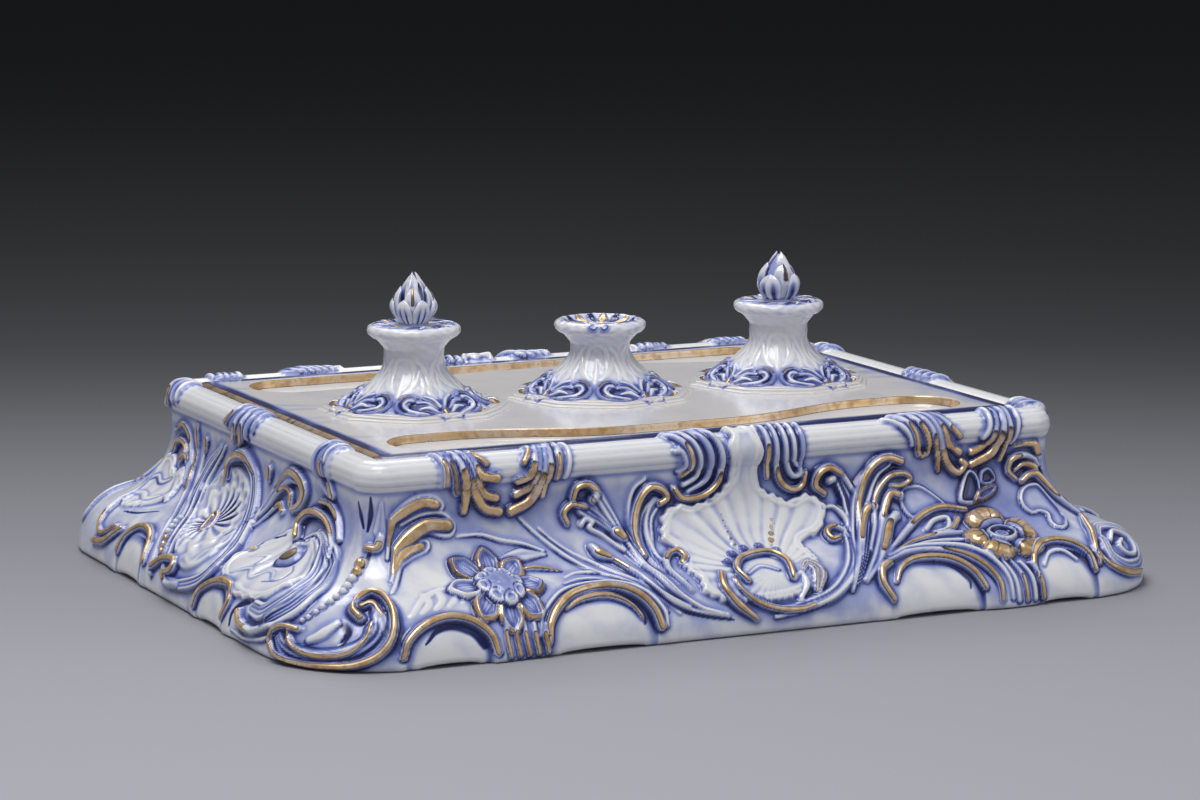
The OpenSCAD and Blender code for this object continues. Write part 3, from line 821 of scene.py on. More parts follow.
    def shell(self) -> None:
        """Models the fluted shell in the middle of the front with its scalloped edge."""
        outline = (
            (4.5, 93), (1.5, 90), (2, 85), (0.5, 80), (2, 72), (-1, 66.5), (-6, 63), (-10.5, 61.5), (-15.5, 60),
            (-20.5, 61), (-25.5, 59), (-28.5, 54),
            (-30, 48), (-27, 43.5), (-25, 38), (-27.5, 31), (-25, 24), (-25, 18), (-20, 14), (-10, 12), (8, 12),
            (20, 16),
            (26, 24), (27, 33), (26, 40), (33, 42.5), (38, 47), (40.5, 53), (38, 58.5), (32, 60.5), (26, 58.5),
            (20, 61),
            (15, 64.5), (13.5, 71.5), (15, 79), (13.5, 85), (14.5, 90), (12, 93),
        )
        self.frilled(outline, (7, 24), 34)
        rel = self.relief
        for at, r in (((-3.5, 55), 0.35), ((-3.3, 52.5), 0.45), ((-3, 50), 0.55), ((-2.8, 47.5), 0.75),
                ((-2.5, 44.5), 0.95), ((-2, 41.5), 1)):
            rel.bead(at, r, 1.1 + 0.35 * r, DULL, 0.0, 0.9)
        for at, r in (((16.5, 51), 0.8), ((15.6, 48), 1.1), ((14.6, 45), 1.4), ((13.4, 42), 1.6)):
            rel.bead(at, r, 0.25, GOLD, 0.0, 1.1)

    def front_strokes(self) -> None:
        """Lays the ornament of the front."""
        self.shell()
        rel = self.relief
        self.lay_all([roll((0.4, 1.3, 0.5), 0.8, -138, 20, -131, 28, -123, 33, -115, 33, edge=0.12)])
        for k in range(4):
            at, up = -134 + 5.5 * k, 21 + k
            self.relief.lay(roll((0.6, 1.5), 0.7, at, up, at + 4, up + 4, at + 4.5, up + 9, edge=0.15))
        self.lay_all([
            roll((0.5, 0.9, 0.7), 0.9, -143, 50, -138, 60, -131, 67.5, -124, 71.5, -117, 71.5, -113.5, 68, -115, 65.5,
                edge=0.9),
            roll((0.5, 0.8, 0.8), 1, -130, 62, -122, 65, -114, 65, -109.5, 61, -111, 57, -115, 57, -120, 58.5, -127, 56,
                -134, 51, -142, 40, edge=0.9),
            roll((0.5, 0.8), 0.8, -128, 55, -121, 55.5, -121.5, 52, -129, 49, -136, 44, -143, 34, edge=0.9),
            gold_leaf((0.5, 2.3, 2), 2.2, -141, 55, -134, 63, -127, 67.5, -121, 69.5, -116.5, 68.5, edge=0.7),
            gold_leaf((0.5, 2.9, 2.6), 2.7, -141, 44, -134, 52, -127, 57.5, -120, 61, -112.5, 60.5, edge=0.7),
            gold_leaf((0.4, 2, 1.6), 1.8, -140, 43, -134, 48.5, -129, 51.8, -123.5, 53.5, edge=0.7),
            roll((0.4, 0.8, 0.5), 1.2, -109, 56, -100, 56, -92, 53, -84, 51, -77, 47.5),
            leaf((0.8, 3.2, 0.8), 1.4, -95, 46, -87, 46.5, -77, 46, crest=WASH, edge=0.9),
            gold_roll((0.5, 1.2, 0.5), 1.6, -90, 40, -82, 40, -74, 37.5, edge=0.9),
            roll((0.4, 0.8, 0.4), 0.9, -74, 33, -68, 35.5, -60, 34, -54, 30, edge=0.8),
            roll((0.4, 0.9, 0.4), 0.9, -76, 29, -69, 31, -62, 30, -55, 26.5),
            roll((0.4, 0.9, 0.6, 0.4), 1.1, -84, 61, -76, 52, -68, 43, -60, 34.5, -52, 27.5, -45, 19.5, -41, 12),
            roll((0.4, 0.7, 0.5), 0.9, -77, 56.5, -68, 47, -58, 38.5, -50, 29, -43, 18, -36, 11, edge=0.8),
        ])
        self.rosette((-101, 30.0), 17.5, -3)
        self.lay_all([
            band((0.6, 1.6, 3.4), 2.2, -26, 10, -34, 18, -39, 28, -43, 42, -48, 56, -53, 65),
            gold_roll((1.2, 1.4, 1.6), 3.4, -62.5, 66, -61, 70, -56.5, 71, -53, 68, -54.5, 65),
            roll((0.5, 0.9, 1), 2.2, -20, 8.5, -32, 15, -39, 29, -43, 44, -49, 58, -54, 67.5, edge=0.9),
            band((0.8, 2.6), 1.8, -46, 50, -52, 57, -58.5, 62),
            gold_roll((1.1, 1.3, 0.8), 2.8, -65.5, 57, -66.5, 61, -63, 64, -57.5, 62.5),
            roll((0.9, 0.6), 1.8, -60, 56, -58, 58, -55.5, 56.5, -57, 54.5, -52, 51, -46, 44, edge=0.8),
            roll((0.7, 1.1, 1, 0.5), 2, -46, 51, -43, 45, -41, 36, -37.5, 22, -28, 12.5, -17, 8.5, edge=0.9),
            gold_roll((2.3, 2), 3.4, -46.5, 51.5, -45, 49.5),
            gold_roll((1, 1.2, 0.7), 2.4, -53, 42, -48.5, 35, -45, 25, -40, 18, -32, 12.5, gilt=(0, 0.75), edge=0.9),
            gold_roll((1.4, 2.3, 1.6), 3, -58, 47, -56, 43.5, -53, 41.5, gilt=(0.3, 1)),
            band((0.8, 1.6, 3.2, 2.2), 1.8, -30, 24, -35, 34, -36, 46, -34, 56, -29, 62),
            roll((0.5, 0.8, 0.6), 1.4, -20, 9.5, -30, 14, -38, 26, -41, 42, -41, 56, -38, 67, -33, 71, edge=0.8),
            gold_roll((0.7, 1.5, 1.6, 1.3), 3.4, -39, 40, -40, 49, -38.5, 57, -35.5, 64, -31.5, 68, -27, 67, -24.5,
                63.5, -27.5, 61.5),
            roll((0.5, 0.9, 0.6), 1.8, -29, 63, -32, 60, -34.5, 54, -35, 46, -33, 36, edge=0.9),
            gold_roll((1.2, 1.1, 0.7), 2.6, -26.5, 34, -24, 37.5, -25.5, 41, -29, 40.5, -32, 36, -33, 28, -29, 19,
                gilt=(0, 0.5), edge=0.7),
            band((0.7, 1.6, 2.4, 3, 1.6), 2.4, -6, 14, 4, 8.8, 16, 9.5, 28, 13, 38, 22, 44, 34, 46, 44),
            band((0.8, 2.6, 4.4, 2.6), 2.4, 44, 30, 50, 44, 51, 56, 48, 65, hollow=NAVY),
            roll((0.5, 1, 1), 2.6, 36, 17, 46, 28, 52, 42, 54, 54, 51, 63, 46, 68.5, 41, 69),
            gold_roll((1.2, 1.5, 1.3), 3.6, 40.5, 59.5, 37, 63, 39, 68, 43.5, 69.5, 48, 67),
            roll((1.6, 1.6), 3.2, 43.5, 64.5, 44.5, 65),
            roll((0.5, 0.8, 0.5), 2, 39, 54, 44, 54, 47, 49, 47, 42, edge=0.9),
            gold_roll((1.2, 1.2, 0.8), 2.8, 41, 40, 38, 39.5, 37.5, 43.5, 41, 46, 45, 43.5, gilt=(0, 0.8)),
            roll((0.5, 0.9, 0.6), 2, 45, 43, 46, 34, 40, 22, 28, 12, 14, 7.5, 2, 6),
            gold_roll((1.2, 1.6, 1.6, 0.9), 3.2, -15, 25, -16.5, 19, -13.5, 12.5, -6, 6, edge=0.9),
            gold_roll((0.6, 1, 1.1, 0.7), 2.6, -11, 22, -9, 16, -4, 11.5, 4, 8.6, 13, 8, 18, 9),
            gold_roll((1.1, 1.5, 1.5, 1.2), 3.2, -6, 20.5, -8, 26, -3.5, 32.5, 4, 35.5, 10.5, 34.5, 13.5, 28.5, 12.5,
                20),
            roll((0.4, 0.8, 0.4), 1, -4, 24, 2.5, 27.5, 8.5, 24.5, edge=0.9),
            gold_band((0.6, 1.6, 2.6, 1.4), 2.6, 17, 22, 21, 26.5, 24, 22, 21, 14.5, hollow=WHITE, edge=0.9),
            roll((0.5, 1, 0.8), 1.8, 13, 19, 16.5, 22, 17, 16.5, 13, 11.5, edge=0.6),
            roll((0.5, 0.8, 0.5), 1.2, -48, 33, -42, 19, -31, 11.5, -17, 8),
            line((0.5, 0.9, 0.5), 0.3, -46, 24, -38, 13.5, -27, 9, -15, 6.5),
        ])
        for k, at in enumerate(((-9.5, 31), (-5, 36.5), (1, 39), (7.5, 39.5), (13.5, 36.5))):
            self.string("shell_beads", at, 1.55 - 0.07 * k, False, 0.62)
        self.lay_all([
            band((0.7, 1.8, 3.2, 4.2, 2.2), 2.6, 35, 13, 44, 28, 51, 44, 56, 57, 62, 66, 68, 69.5),
            gold_roll((0.5, 1, 1.4, 1.5), 3.2, 35, 12.5, 43, 26, 51, 42, 54, 54, 57.5, 63, 62, 69, 68, 71.5, 74, 69.5,
                gilt=(0.45, 1), edge=0.9),
            band((0.6, 1.4, 2.6), 2.2, 38, 15, 48, 30, 55, 43, 58, 51, hollow=NAVY),
            gold_roll((0.8, 1, 1.5, 1.8), 3.2, 44, 27, 50, 38, 54, 47, 57.5, 52, 61, 52, gilt=(0.35, 1), edge=0.9),
            leaf((0.6, 1.6, 3, 3.4, 1.6), 2.6, 52, 34, 59, 45, 63, 55, 69, 62, 76, 62.5, crest=NAVY, edge=0.9),
            gold_roll((0.5, 0.8, 1, 0.9), 3, 50, 30, 58, 44, 61.5, 56, 67.5, 63.5, 74, 65, 78, 62.5, 74, 60, 69, 60,
                gilt=(0.4, 1), edge=0.9),
            gold_roll((0.5, 0.9, 1.6, 1.8), 3.2, 41, 16, 51, 28, 60, 42, 65, 52, 68.5, 57, 72.5, 56, gilt=(0.7, 1)),
            gold_roll((0.6, 1.2, 2, 2), 3.2, 42, 15.5, 51, 24, 59, 35, 64.5, 44.5, 68.5, 48, gilt=(0.4, 0.9)),
        ])
        rel.petal(((72, 53), (73, 58), (78, 60), (84, 58.5), (92, 50.5), (86, 48), (80, 45.5), (74.5, 46.5)), 1.6, 0.8,
            0.5, WASH, BLUE, edge=1.0)
        rel.petal(((105, 50), (97.5, 51), (99.5, 58), (103, 64), (107, 62), (108, 56)), 2.4, 0.9, 0.6, WASH, NAVY,
            edge=1.0)
        rel.petal(((108, 58), (109, 63), (113, 64), (115.5, 59.5), (112, 57)), 2.2, 0.8, 0.6, BLUE, NAVY, edge=1.0)
        rel.petal(((103, 50.5), (108, 56), (115, 57.5), (114.5, 54), (109, 51)), 2.2, 0.9, 0.6, DULL, BLUE, edge=1.0)
        self.lay_all([
            gold_roll((0.6, 1.2, 1.3, 1), 2.4, 53, 24, 62, 33, 71, 41, 80, 47.5, 89, 50, 99, 48, gilt=(0.5, 1)),
            roll((0.9, 0.9, 0.7), 1.8, 79, 40.5, 84, 44.5, 90, 45, 88, 40, 81.5, 38.5, edge=0.9),
            gold_roll((1.2, 0.8), 2.2, 94, 44, 90, 39.5, 86, 38, edge=0.9),
            gold_roll((0.6, 1.1, 0.8), 1.8, 58, 27, 70, 34, 81, 37, 93, 37, gilt=(0, 0.7)),
            roll((0.5, 0.9, 0.7), 1.4, 57, 26, 69, 31, 80, 33, 94, 32),
        ])
        self.pansy((107, 31.5))
        self.arch_bands()

    def arch_bands(self) -> None:
        """Lays the moulded bands over the arches and the ribbed feet between them."""
        bands = [
            roll((0.7, 0.8), 1.5, -92, 8, -90, 14, -85, 20, -77, 25.5, -66, 27.5, -56, 26.5, -48, 21.5, -42.5, 13, -42,
                7, edge=0.9),
            gold_roll((1.4, 1.7, 1.7, 1.6), 3.2, -89, 5.5, -87.5, 12, -83, 17.5, -76, 22, -67, 24, -58, 23.3, -51, 19.5,
                -46.5, 13.5, -44.5, 7),
            gold_roll((0.4, 1.2, 1.2, 0.5), 2, -80, 16.5, -74, 19.5, -66.5, 20.8, -59.5, 19.5, -54, 15.5, -51, 10.5,
                edge=0.9),
            gold_roll((1.2, 1.5, 1.6, 1.3), 2.8, -142, 5, -140, 11, -134, 16, -125, 18, -117, 15.8, -111, 10.5, -109,
                4),
            line((0.5, 1.4, 2.2, 1.6), 0.4, -135, 9, -131, 13, -124.5, 14.6, -117.5, 12, -113.5, 6.5),
            gold_roll((1.3, 1.5, 1.6, 1.4), 3, 51, 8, 48, 14, 49.5, 19.5, 54, 22.5, edge=0.9),
            gold_roll((0.5, 1.3, 1.5, 1.2), 2.8, 54, 14, 57.5, 19.5, 64, 22.8, 72, 23, 80, 21, 86.5, 16, 90.5, 9,
                edge=0.9),
            gold_roll((0.8, 1.2, 1.3, 1.2), 2.4, 54, 23.5, 63, 26.8, 72, 27, 83, 24.5, 91.5, 18.5, 96.5, 11, 97, 4,
                gilt=(0.45, 1), edge=0.9),
            roll((0.6, 0.9, 0.8), 1.8, 55, 25.5, 67, 30, 79, 30.2, 89.5, 27, 97, 20, 101, 12, 101.5, 4, edge=0.9),
            gold_roll((1, 1.4, 1.4, 1), 2.6, 114, 9, 113.5, 16, 117, 22, 125, 25.5, 133, 23.5, 138, 18, 138.5, 11),
            roll((0.4, 0.8, 0.5), 1.2, 118, 15, 122, 20, 128, 20.5, 132.5, 16, edge=0.9),
        ]
        bands += [line((0.3, 0.9, 1.5, 0.6), 0.5, -60, 20.4, -54, 17.2, -50, 12.5, -50.5, 8.5),
            line((0.3, 0.8, 1.3, 0.5), 0.5, 74, 20.6, 80, 17.5, 84.5, 12.5, 84.5, 9)]
        ribs = []
        for k in range(5):
            x = -105.5 + 3.7 * k
            ribs.append(gold_roll((0.5, 0.95, 0.9), 2.2, x + 1, 15 - 0.7 * k, x + 0.4, 8, x + 1.4, 2.2, gilt=(0.3, 1)))
        for k in range(4):
            x = 103.5 + 3.7 * k
            ribs.append(roll((0.5, 0.95, 0.9), 2, x - 3, 19 - 0.8 * k, x, 11, x + 0.6, 3, crest=GOLD if k % 2
                else WHITE, gilt=(0.4, 1)))
        self.lay_all(bands + ribs)

    def wrap_ground(self, u0: float, u1: float, low: float, lean: float = 0.0) -> None:
        """Raises the ground of a leaf wrapped over the rim, and tints it.

        Args:
            u0: Left edge in mm round the deck.
            u1: Right edge.
            low: Run up the section where it ends on the skirt.
            lean: How far the lower end stands to the right.
        """
        u, v = self.u.ravel(), self.v.ravel()
        shift = lean * (1 - np.clip((v - low) / (86 - low), 0, 1))
        inside = np.minimum(u - u0 - shift, u1 + shift - u)
        mask = smooth(inside, -0.3, 0.9) * smooth(v, low - 0.5, low + 1.5) * smooth(v, 93.4, 92.0)
        rel = self.relief
        rel.height = np.maximum(rel.height, 1.0 * mask)
        rel.blue = rel.blue * (1 - mask) + (0.42 + 0.2 * smooth(v, 82, 90)) * mask
        rel.cover = np.maximum(rel.cover, mask)

    def wrap_strokes(self) -> None:
        """Lays the leaves, the scroll and the ribbon wrapped over the front of the rim."""
        self.wrap_ground(-115, -100, 74)
        self.lay_all([
            gold_roll((0.7, 1.1, 1), 1.8, -116, 91, -114, 86, -112.5, 82, -112.5, 76, gilt=(0.45, 1), edge=0.75),
            roll((0.8, 1.2, 1.4), 2, -113, 92, -111, 86, -109.5, 79, -108, 72, crest=DULL, gilt=(0.4, 1), edge=0.75),
            gold_leaf((0.8, 1.6, 2, 1.6), 2.8, -110, 92, -107.5, 85, -105.5, 78, -104.5, 71, -105.5, 65,
                gilt=(0.42, 1)),
            gold_leaf((0.8, 1.7, 2, 2.1), 3, -107, 92, -105, 86, -102.5, 79, -101, 71.5, -97.5, 65.5, -92, 63.8,
                gilt=(0.42, 1)),
            gold_leaf((0.7, 1.4, 1.9), 2.6, -105.5, 91, -103.5, 84, -100, 76, -97, 70.5, -93, 69, gilt=(0.48, 1)),
            gold_leaf((0.7, 1.4, 2), 2.4, -104, 91, -102, 84.5, -99, 78.5, -93, 77, gilt=(0.5, 1)),
            gold_leaf((0.6, 1.2, 1.5), 2, -103, 92, -101, 87, -97, 82.5, gilt=(0.45, 1)),
        ])
        self.wrap_ground(-80, -65.5, 74)
        self.lay_all([
            roll((0.8, 1), 1.6, -64.5, 92, -63.6, 86, -64.2, 80, -65.5, 75, edge=0.6),
            gold_leaf((0.6, 1.3), 2, -77.5, 92, -79, 86, -82, 81.5, gilt=(0.45, 1)),
            gold_leaf((0.7, 1.4, 1.6), 2.4, -75, 91, -77, 84, -80, 77, -84.5, 75, gilt=(0.5, 1)),
            gold_leaf((0.7, 1.4, 1.8), 2.6, -73.5, 91, -75.5, 82, -78.5, 73, -85, 69.5, gilt=(0.5, 1)),
            gold_leaf((0.8, 1.7, 2.2, 2.2), 3, -71.5, 92, -73, 84, -75, 75, -79.5, 67, -87, 63.5, gilt=(0.42, 1)),
            gold_leaf((0.8, 1.5, 1.2), 2.6, -70, 92, -71.5, 84, -72.5, 76, -74.5, 68, gilt=(0.48, 1)),
            gold_roll((0.8, 1.2, 1.1), 2, -67.5, 92, -68, 84, -69, 75, gilt=(0.5, 1)),
        ])
        self.wrap_ground(-21, -6, 72, 2.0)
        self.lay_all([
            roll((0.8, 1.1, 1), 2, -21.5, 81, -18.5, 80.5, -17, 76, -19.5, 73, crest=WASH),
            gold_roll((0.9, 1.2, 1.2, 0.9), 2.4, -24, 90, -18.5, 85, -15, 79, -15, 73.5, -18.5, 71, gilt=(0.4, 1)),
            roll((0.9, 1.2, 1.2, 0.9), 2.4, -20, 91, -15, 85.5, -11.5, 78, -12, 71, -17.5, 67.5, crest=WASH),
            roll((1, 1.4, 1.3, 0.9), 2.8, -16, 92, -10.5, 86, -7, 78, -8, 69.5, -16, 64.8, crest=BLUE),
            gold_roll((1, 1.3, 1.4, 1.2), 3.2, -12, 92, -5.5, 85.5, -2.3, 77, -3.5, 68, -10, 63, -18, 62.5, -21.5, 66.5,
                gilt=(0.48, 1)),
        ])
        self.wrap_ground(16, 32.5, 72, -1.0)
        self.lay_all([
            gold_roll((1, 1.3, 1.1), 2.2, 16.5, 92, 16.8, 84, 16.8, 76, 17.3, 68, gilt=(0.48, 1)),
            gold_roll((0.9, 1.2, 1.3, 1.2), 3, 20.5, 92, 20, 84, 20.5, 74, 22.5, 66, 27, 62.3, 31.5, 63.5, 33, 68.5,
                gilt=(0.48, 1)),
            roll((0.9, 1.2, 1.2, 1), 2.6, 24.3, 92, 23.8, 84, 24.5, 75, 27, 68.5, 30.3, 67.5, 31, 71, crest=WASH),
            roll((0.9, 1.2, 0.9), 2.4, 27.8, 92, 27.3, 84, 28, 75, 29.5, 71.5),
            roll((0.9, 1.2, 0.9), 2.4, 31.2, 92, 31.2, 84, 31.4, 72.5, crest=BLUE),
        ])
        self.wrap_ground(74, 95, 75, 3.0)
        self.lay_all([
            roll((0.7, 1, 0.8), 1.8, 68, 88, 73, 84.5, 77, 80, 78.5, 76, edge=0.9),
            gold_roll((0.8, 1.1, 1.2), 2.2, 72, 91, 77, 85, 80, 79, 82, 71.5, gilt=(0.4, 1)),
            gold_leaf((0.8, 1.3, 1.3, 0.9), 2.6, 76, 92, 81, 85.5, 85, 78, 86, 72, 83.5, 70.5, gilt=(0.4, 1)),
            gold_leaf((0.8, 1.4, 1.4, 1), 2.8, 79, 92.3, 84.5, 85, 88.5, 77, 90, 70, 90.5, 64.5, gilt=(0.5, 1)),
            gold_leaf((0.8, 1.5, 1.7, 1.7, 1.4), 3.2, 82, 92.3, 88, 84, 91.5, 75, 94, 67.5, 98.5, 63, 102, 66, 100.5,
                67.5, gilt=(0.5, 1)),
            gold_leaf((0.8, 1.4, 1.8), 2.6, 85, 92.3, 90.5, 83.5, 94, 76, 99.5, 71, gilt=(0.45, 1)),
            gold_leaf((0.8, 1.3, 1.3), 2.2, 87, 92, 93, 84, 99, 78, gilt=(0.7, 1)),
        ])
        self.wrap_ground(111, 124, 74)
        self.lay_all([
            roll((0.8, 1.1, 1), 2, 113, 92, 113, 86, 112, 80, 109.5, 76.5),
            gold_leaf((0.7, 1.3, 1.6), 2.4, 115.5, 92, 115.8, 84, 113.5, 76.5, 110, 72.5, 105, 70.5, gilt=(0.5, 1)),
            gold_leaf((0.8, 1.7, 2.1, 1.8), 3, 118.5, 92.3, 118.5, 84, 117, 76, 113.5, 69.5, 105, 65.8, gilt=(0.42, 1)),
            gold_leaf((0.8, 1.5, 1.1), 2.6, 121, 92.3, 120.8, 84, 120.5, 74, 117.5, 66.5, gilt=(0.48, 1)),
            roll((0.9, 1.1, 0.9), 2, 124.5, 91, 125, 84, 124.3, 78, 122.5, 73, edge=0.9),
        ])

    def left_strokes(self) -> None:
        """Lays the ornament of the left side, whose points are Y and the run up."""

        def to_run(y: float) -> float:
            """Run round the deck's edge of a Y on the left side."""
            return -self.half_l - self.corner_run - self.half_w - y

        for outline, hub in (
            (((-36, 24), (-34, 36), (-42, 46), (-52, 53), (-60, 47), (-70, 52), (-82, 46), (-90, 36), (-90, 24),
                (-82, 17), (-70, 15), (-56, 16), (-44, 18)), (-60, 62)),
            (((97, 54), (88, 57), (80, 51), (72, 54), (66, 44), (70, 34), (79, 27), (90, 26), (97, 34)), (86, 14)),
        ):
            self.frilled(tuple((to_run(y), v) for y, v in outline), (to_run(hub[0]), hub[1]), 20, 0.6)
        self.medallion(to_run)
        self.lay_all([
            band((1.2, 2.4, 3.2, 3, 2.4, 1.4), 2.4, 40, 68, 50, 58, 49, 46, 35, 33, 22, 22.5, 15, 13),
            gold_roll((0.5, 1, 0.8), 2.6, 67, 71, 65.5, 61, 62, 50, 48, 37, 31, 24.5, 22, 15, 19, 7, gilt=(0, 0.35)),
            roll((0.5, 0.8, 0.7), 2, 56, 68.5, 57.5, 58, 54, 49, 42, 38, 28, 27, 19, 16, edge=0.9),
            roll((0.5, 0.9, 0.8), 2.2, 35, 69, 43, 59, 44, 50, 32, 37, 20, 27, 10, 17),
            band((1.6, 3, 2.6, 2.6, 2.8, 2, 1.2), 3, 25.5, 58, 25, 65, 13, 69, 2, 64, -6, 53, -18, 38, -31, 25.5, -30,
                15, -12, 9, 4, 9, 10, 12, edge=0.9),
            gold_roll((1, 1.8, 1.6, 1), 4, 27, 55, 27.5, 63, 20, 68, 9, 68.5, 2, 64.5),
            gold_roll((1.3, 1.6, 1.3), 3.4, 19, 10.5, 11, 15, 1, 16, -1, 12.5, 5, 10, -2, 7.5, -12, 9, gilt=(0, 0.75)),
            gold_roll((1.2, 1.3, 1), 3, 90, 58, 88, 62.5, 80, 63, 76, 59),
            gold_roll((1.2, 1.3, 1), 3, 80, 55.5, 76.5, 58.5, 69, 55, 64, 48, gilt=(0, 0.5)),
            gold_roll((0.6, 1.2, 1), 2.4, 94, 66, 85, 70, 76, 68, 70, 60, 64, 50, gilt=(0.1, 0.6)),
            gold_roll((0.9, 1.3, 0.7), 2.4, 66.5, 72, 66, 63),
            gold_roll((1.3, 0.7), 2.4, 56, 68, 56.5, 63.5),
            gold_roll((1, 1.5), 3, -13, 63.5, -14, 68),
            leaf((0.6, 1.2, 2.8, 3.4, 2), 3, -8, 36, -13, 47, -20, 58, -34, 68, -46, 68.5, crest=BLUE, edge=0.9),
            gold_roll((0.5, 0.8, 1.4, 2.2, 1.4), 3.6, -12, 45, -20, 59, -34, 70, -45, 70, -51, 66, -48, 60, -42, 57,
                gilt=(0.3, 1)),
            gold_roll((0.5, 0.9, 1.1), 2.6, -15, 48, -27, 62, -36, 63, -39, 58, gilt=(0.5, 1)),
            gold_roll((0.5, 0.8, 1.4), 2.4, -17, 44, -24, 53, -29, 57, -33.5, 54.5, gilt=(0.6, 1)),
            roll((0.6, 0.8), 1.2, -25, 35, -16, 44, -15, 53, edge=0.7),
            line((0.4, 0.6), 0.3, -37, 38, -40, 43, -48, 47),
            gold_roll((1.6, 1.6), 1.6, -35, 35, -38, 36, edge=0.9),
            roll((0.5, 0.8, 0.5), 1.6, -48, 22, -56, 27, -64, 24, -70, 30, -78, 27, edge=0.5),
            roll((0.5, 0.8, 0.5), 1.5, -44, 32, -52, 36, -55, 30, -60, 33, edge=0.4),
            line((0.3, 0.6, 0.3), 0.4, -74, 24, -82, 28, -80, 34, -75, 37, crest=BLUE),
            roll((5, 5.2), 3.6, -66, 39, -67.5, 40, crest=DULL),
            band((0.6, 3, 3.6, 3.2, 2.2), 2.8, -70, 54, -80, 51, -90, 43, -98, 34, -101, 24, -94, 15, -83, 14,
                hollow=WASH, edge=0.8),
            gold_roll((1.6, 1.8, 1.4, 0.9), 4, -58, 48, -54, 53, -57, 58, -66, 60, -77, 58.5, -86, 53, -92, 46),
            gold_roll((1, 1.3, 0.9), 3, -66, 64.5, -76, 65, -84, 61.5, -91, 54, gilt=(0, 0.7)),
            roll((0.5, 0.8, 0.7), 2, -63, 49, -70, 52.5, -79, 50, -88, 42, -94, 34, -98, 25, -92, 18, -83, 17,
                edge=0.9),
            gold_roll((1.4, 1.6, 1.3), 3.2, -74, 11, -80, 7.5, -92, 7.5, -104, 12, gilt=(0, 0.7)),
            line((0.8, 1.6, 1.2), 0.6, -67, 5, -67, 10, -73, 14.5, -80, 16.5),
            roll((0.6, 0.9), 1.2, -70, 4, -84, 3.5, -100, 6.5, -108, 12),
            roll((0.7, 1.1, 0.8), 1.6, 98, 40, 92, 46, 84, 44, 78, 47, edge=0.9),
            roll((1.2, 1.6, 1), 1.4, 96, 32, 88, 36, 80, 34, 74, 38, edge=0.5),
            line((0.5, 0.8, 0.5), 0.4, 80, 24, 69, 26, 59, 31.5),
            roll((1.2, 1.8, 1.2), 1.6, 76, 52, 70, 45, 66, 38, edge=0.5),
            gold_roll((0.6, 1.2, 1), 2.2, 97, 50, 95, 38, 92, 26, 90, 16, 83, 12, 73, 17, gilt=(0.55, 1)),
            gold_roll((1.2, 1.5, 1.2), 2.8, 88, 8, 76, 10, 66, 17, edge=0.9),
            gold_roll((1.2, 1.6, 1.2), 2.8, 59, 9, 57.5, 16, 51, 21.5, 42, 21.5, 34, 18, 29.5, 10),
            gold_roll((1.2, 1.6, 1.2), 2.8, -30.5, 5, -33, 11, -41, 16, -49, 18, -57, 17.5, -62, 12.5, -60, 6),
        ], to_run)
        for k in range(7):
            self.string("left_beads", (to_run(33.5 - 2.7 * k), 32 - 2.6 * k), 1.25, k > 3)
        for y0, y1, low in ((27, 8, 76), (106, 88, 78), (-62, -76, 74)):
            self.wrap_ground(to_run(y0), to_run(y1), low)
        self.lay_all([
            gold_roll((0.8, 1.2, 1), 2.4, 20, 92, 18, 84, 20, 78, 27, 72.5, gilt=(0.5, 1)),
            gold_roll((0.8, 1.2, 1.1), 2.4, 25, 91, 25, 84.5, 30, 79.5, gilt=(0.5, 1)),
            gold_roll((0.8, 1.3, 1.1), 2.6, 14.5, 92, 12, 84, 12, 78, 18, 72.5, gilt=(0.5, 1)),
            roll((0.8, 1.2, 1), 2.2, 9.5, 92, 7, 85, 8, 77, crest=BLUE),
            roll((0.8, 1.2, 1), 2, 5, 92, 2, 86, 1.5, 80.5, crest=BLUE),
            gold_roll((0.8, 1.2, 1), 2.2, 94, 92, 97, 86, 96, 80, 99, 75, gilt=(0.5, 1)),
            roll((0.8, 1.2, 1), 2.2, 90, 92, 92, 86, 91, 79, crest=BLUE),
            roll((0.8, 1.2, 0.9), 2.2, 86.5, 92, 87.5, 86, 86.5, 80),
            roll((0.9, 1.2, 1), 2.4, -66, 92, -64, 86, -63.5, 79, -66, 72, -74, 68, crest=BLUE),
            gold_roll((1.3, 1.2), 2.4, -70, 80, -70.5, 76.5, edge=0.9),
            gold_roll((1.3, 1.6), 2.6, -73.5, 73, -77, 68.5, edge=0.9),
            roll((0.8, 1.1, 0.9), 2, -72, 91.5, -71.5, 85, -72.5, 81, edge=0.9),
        ], to_run)

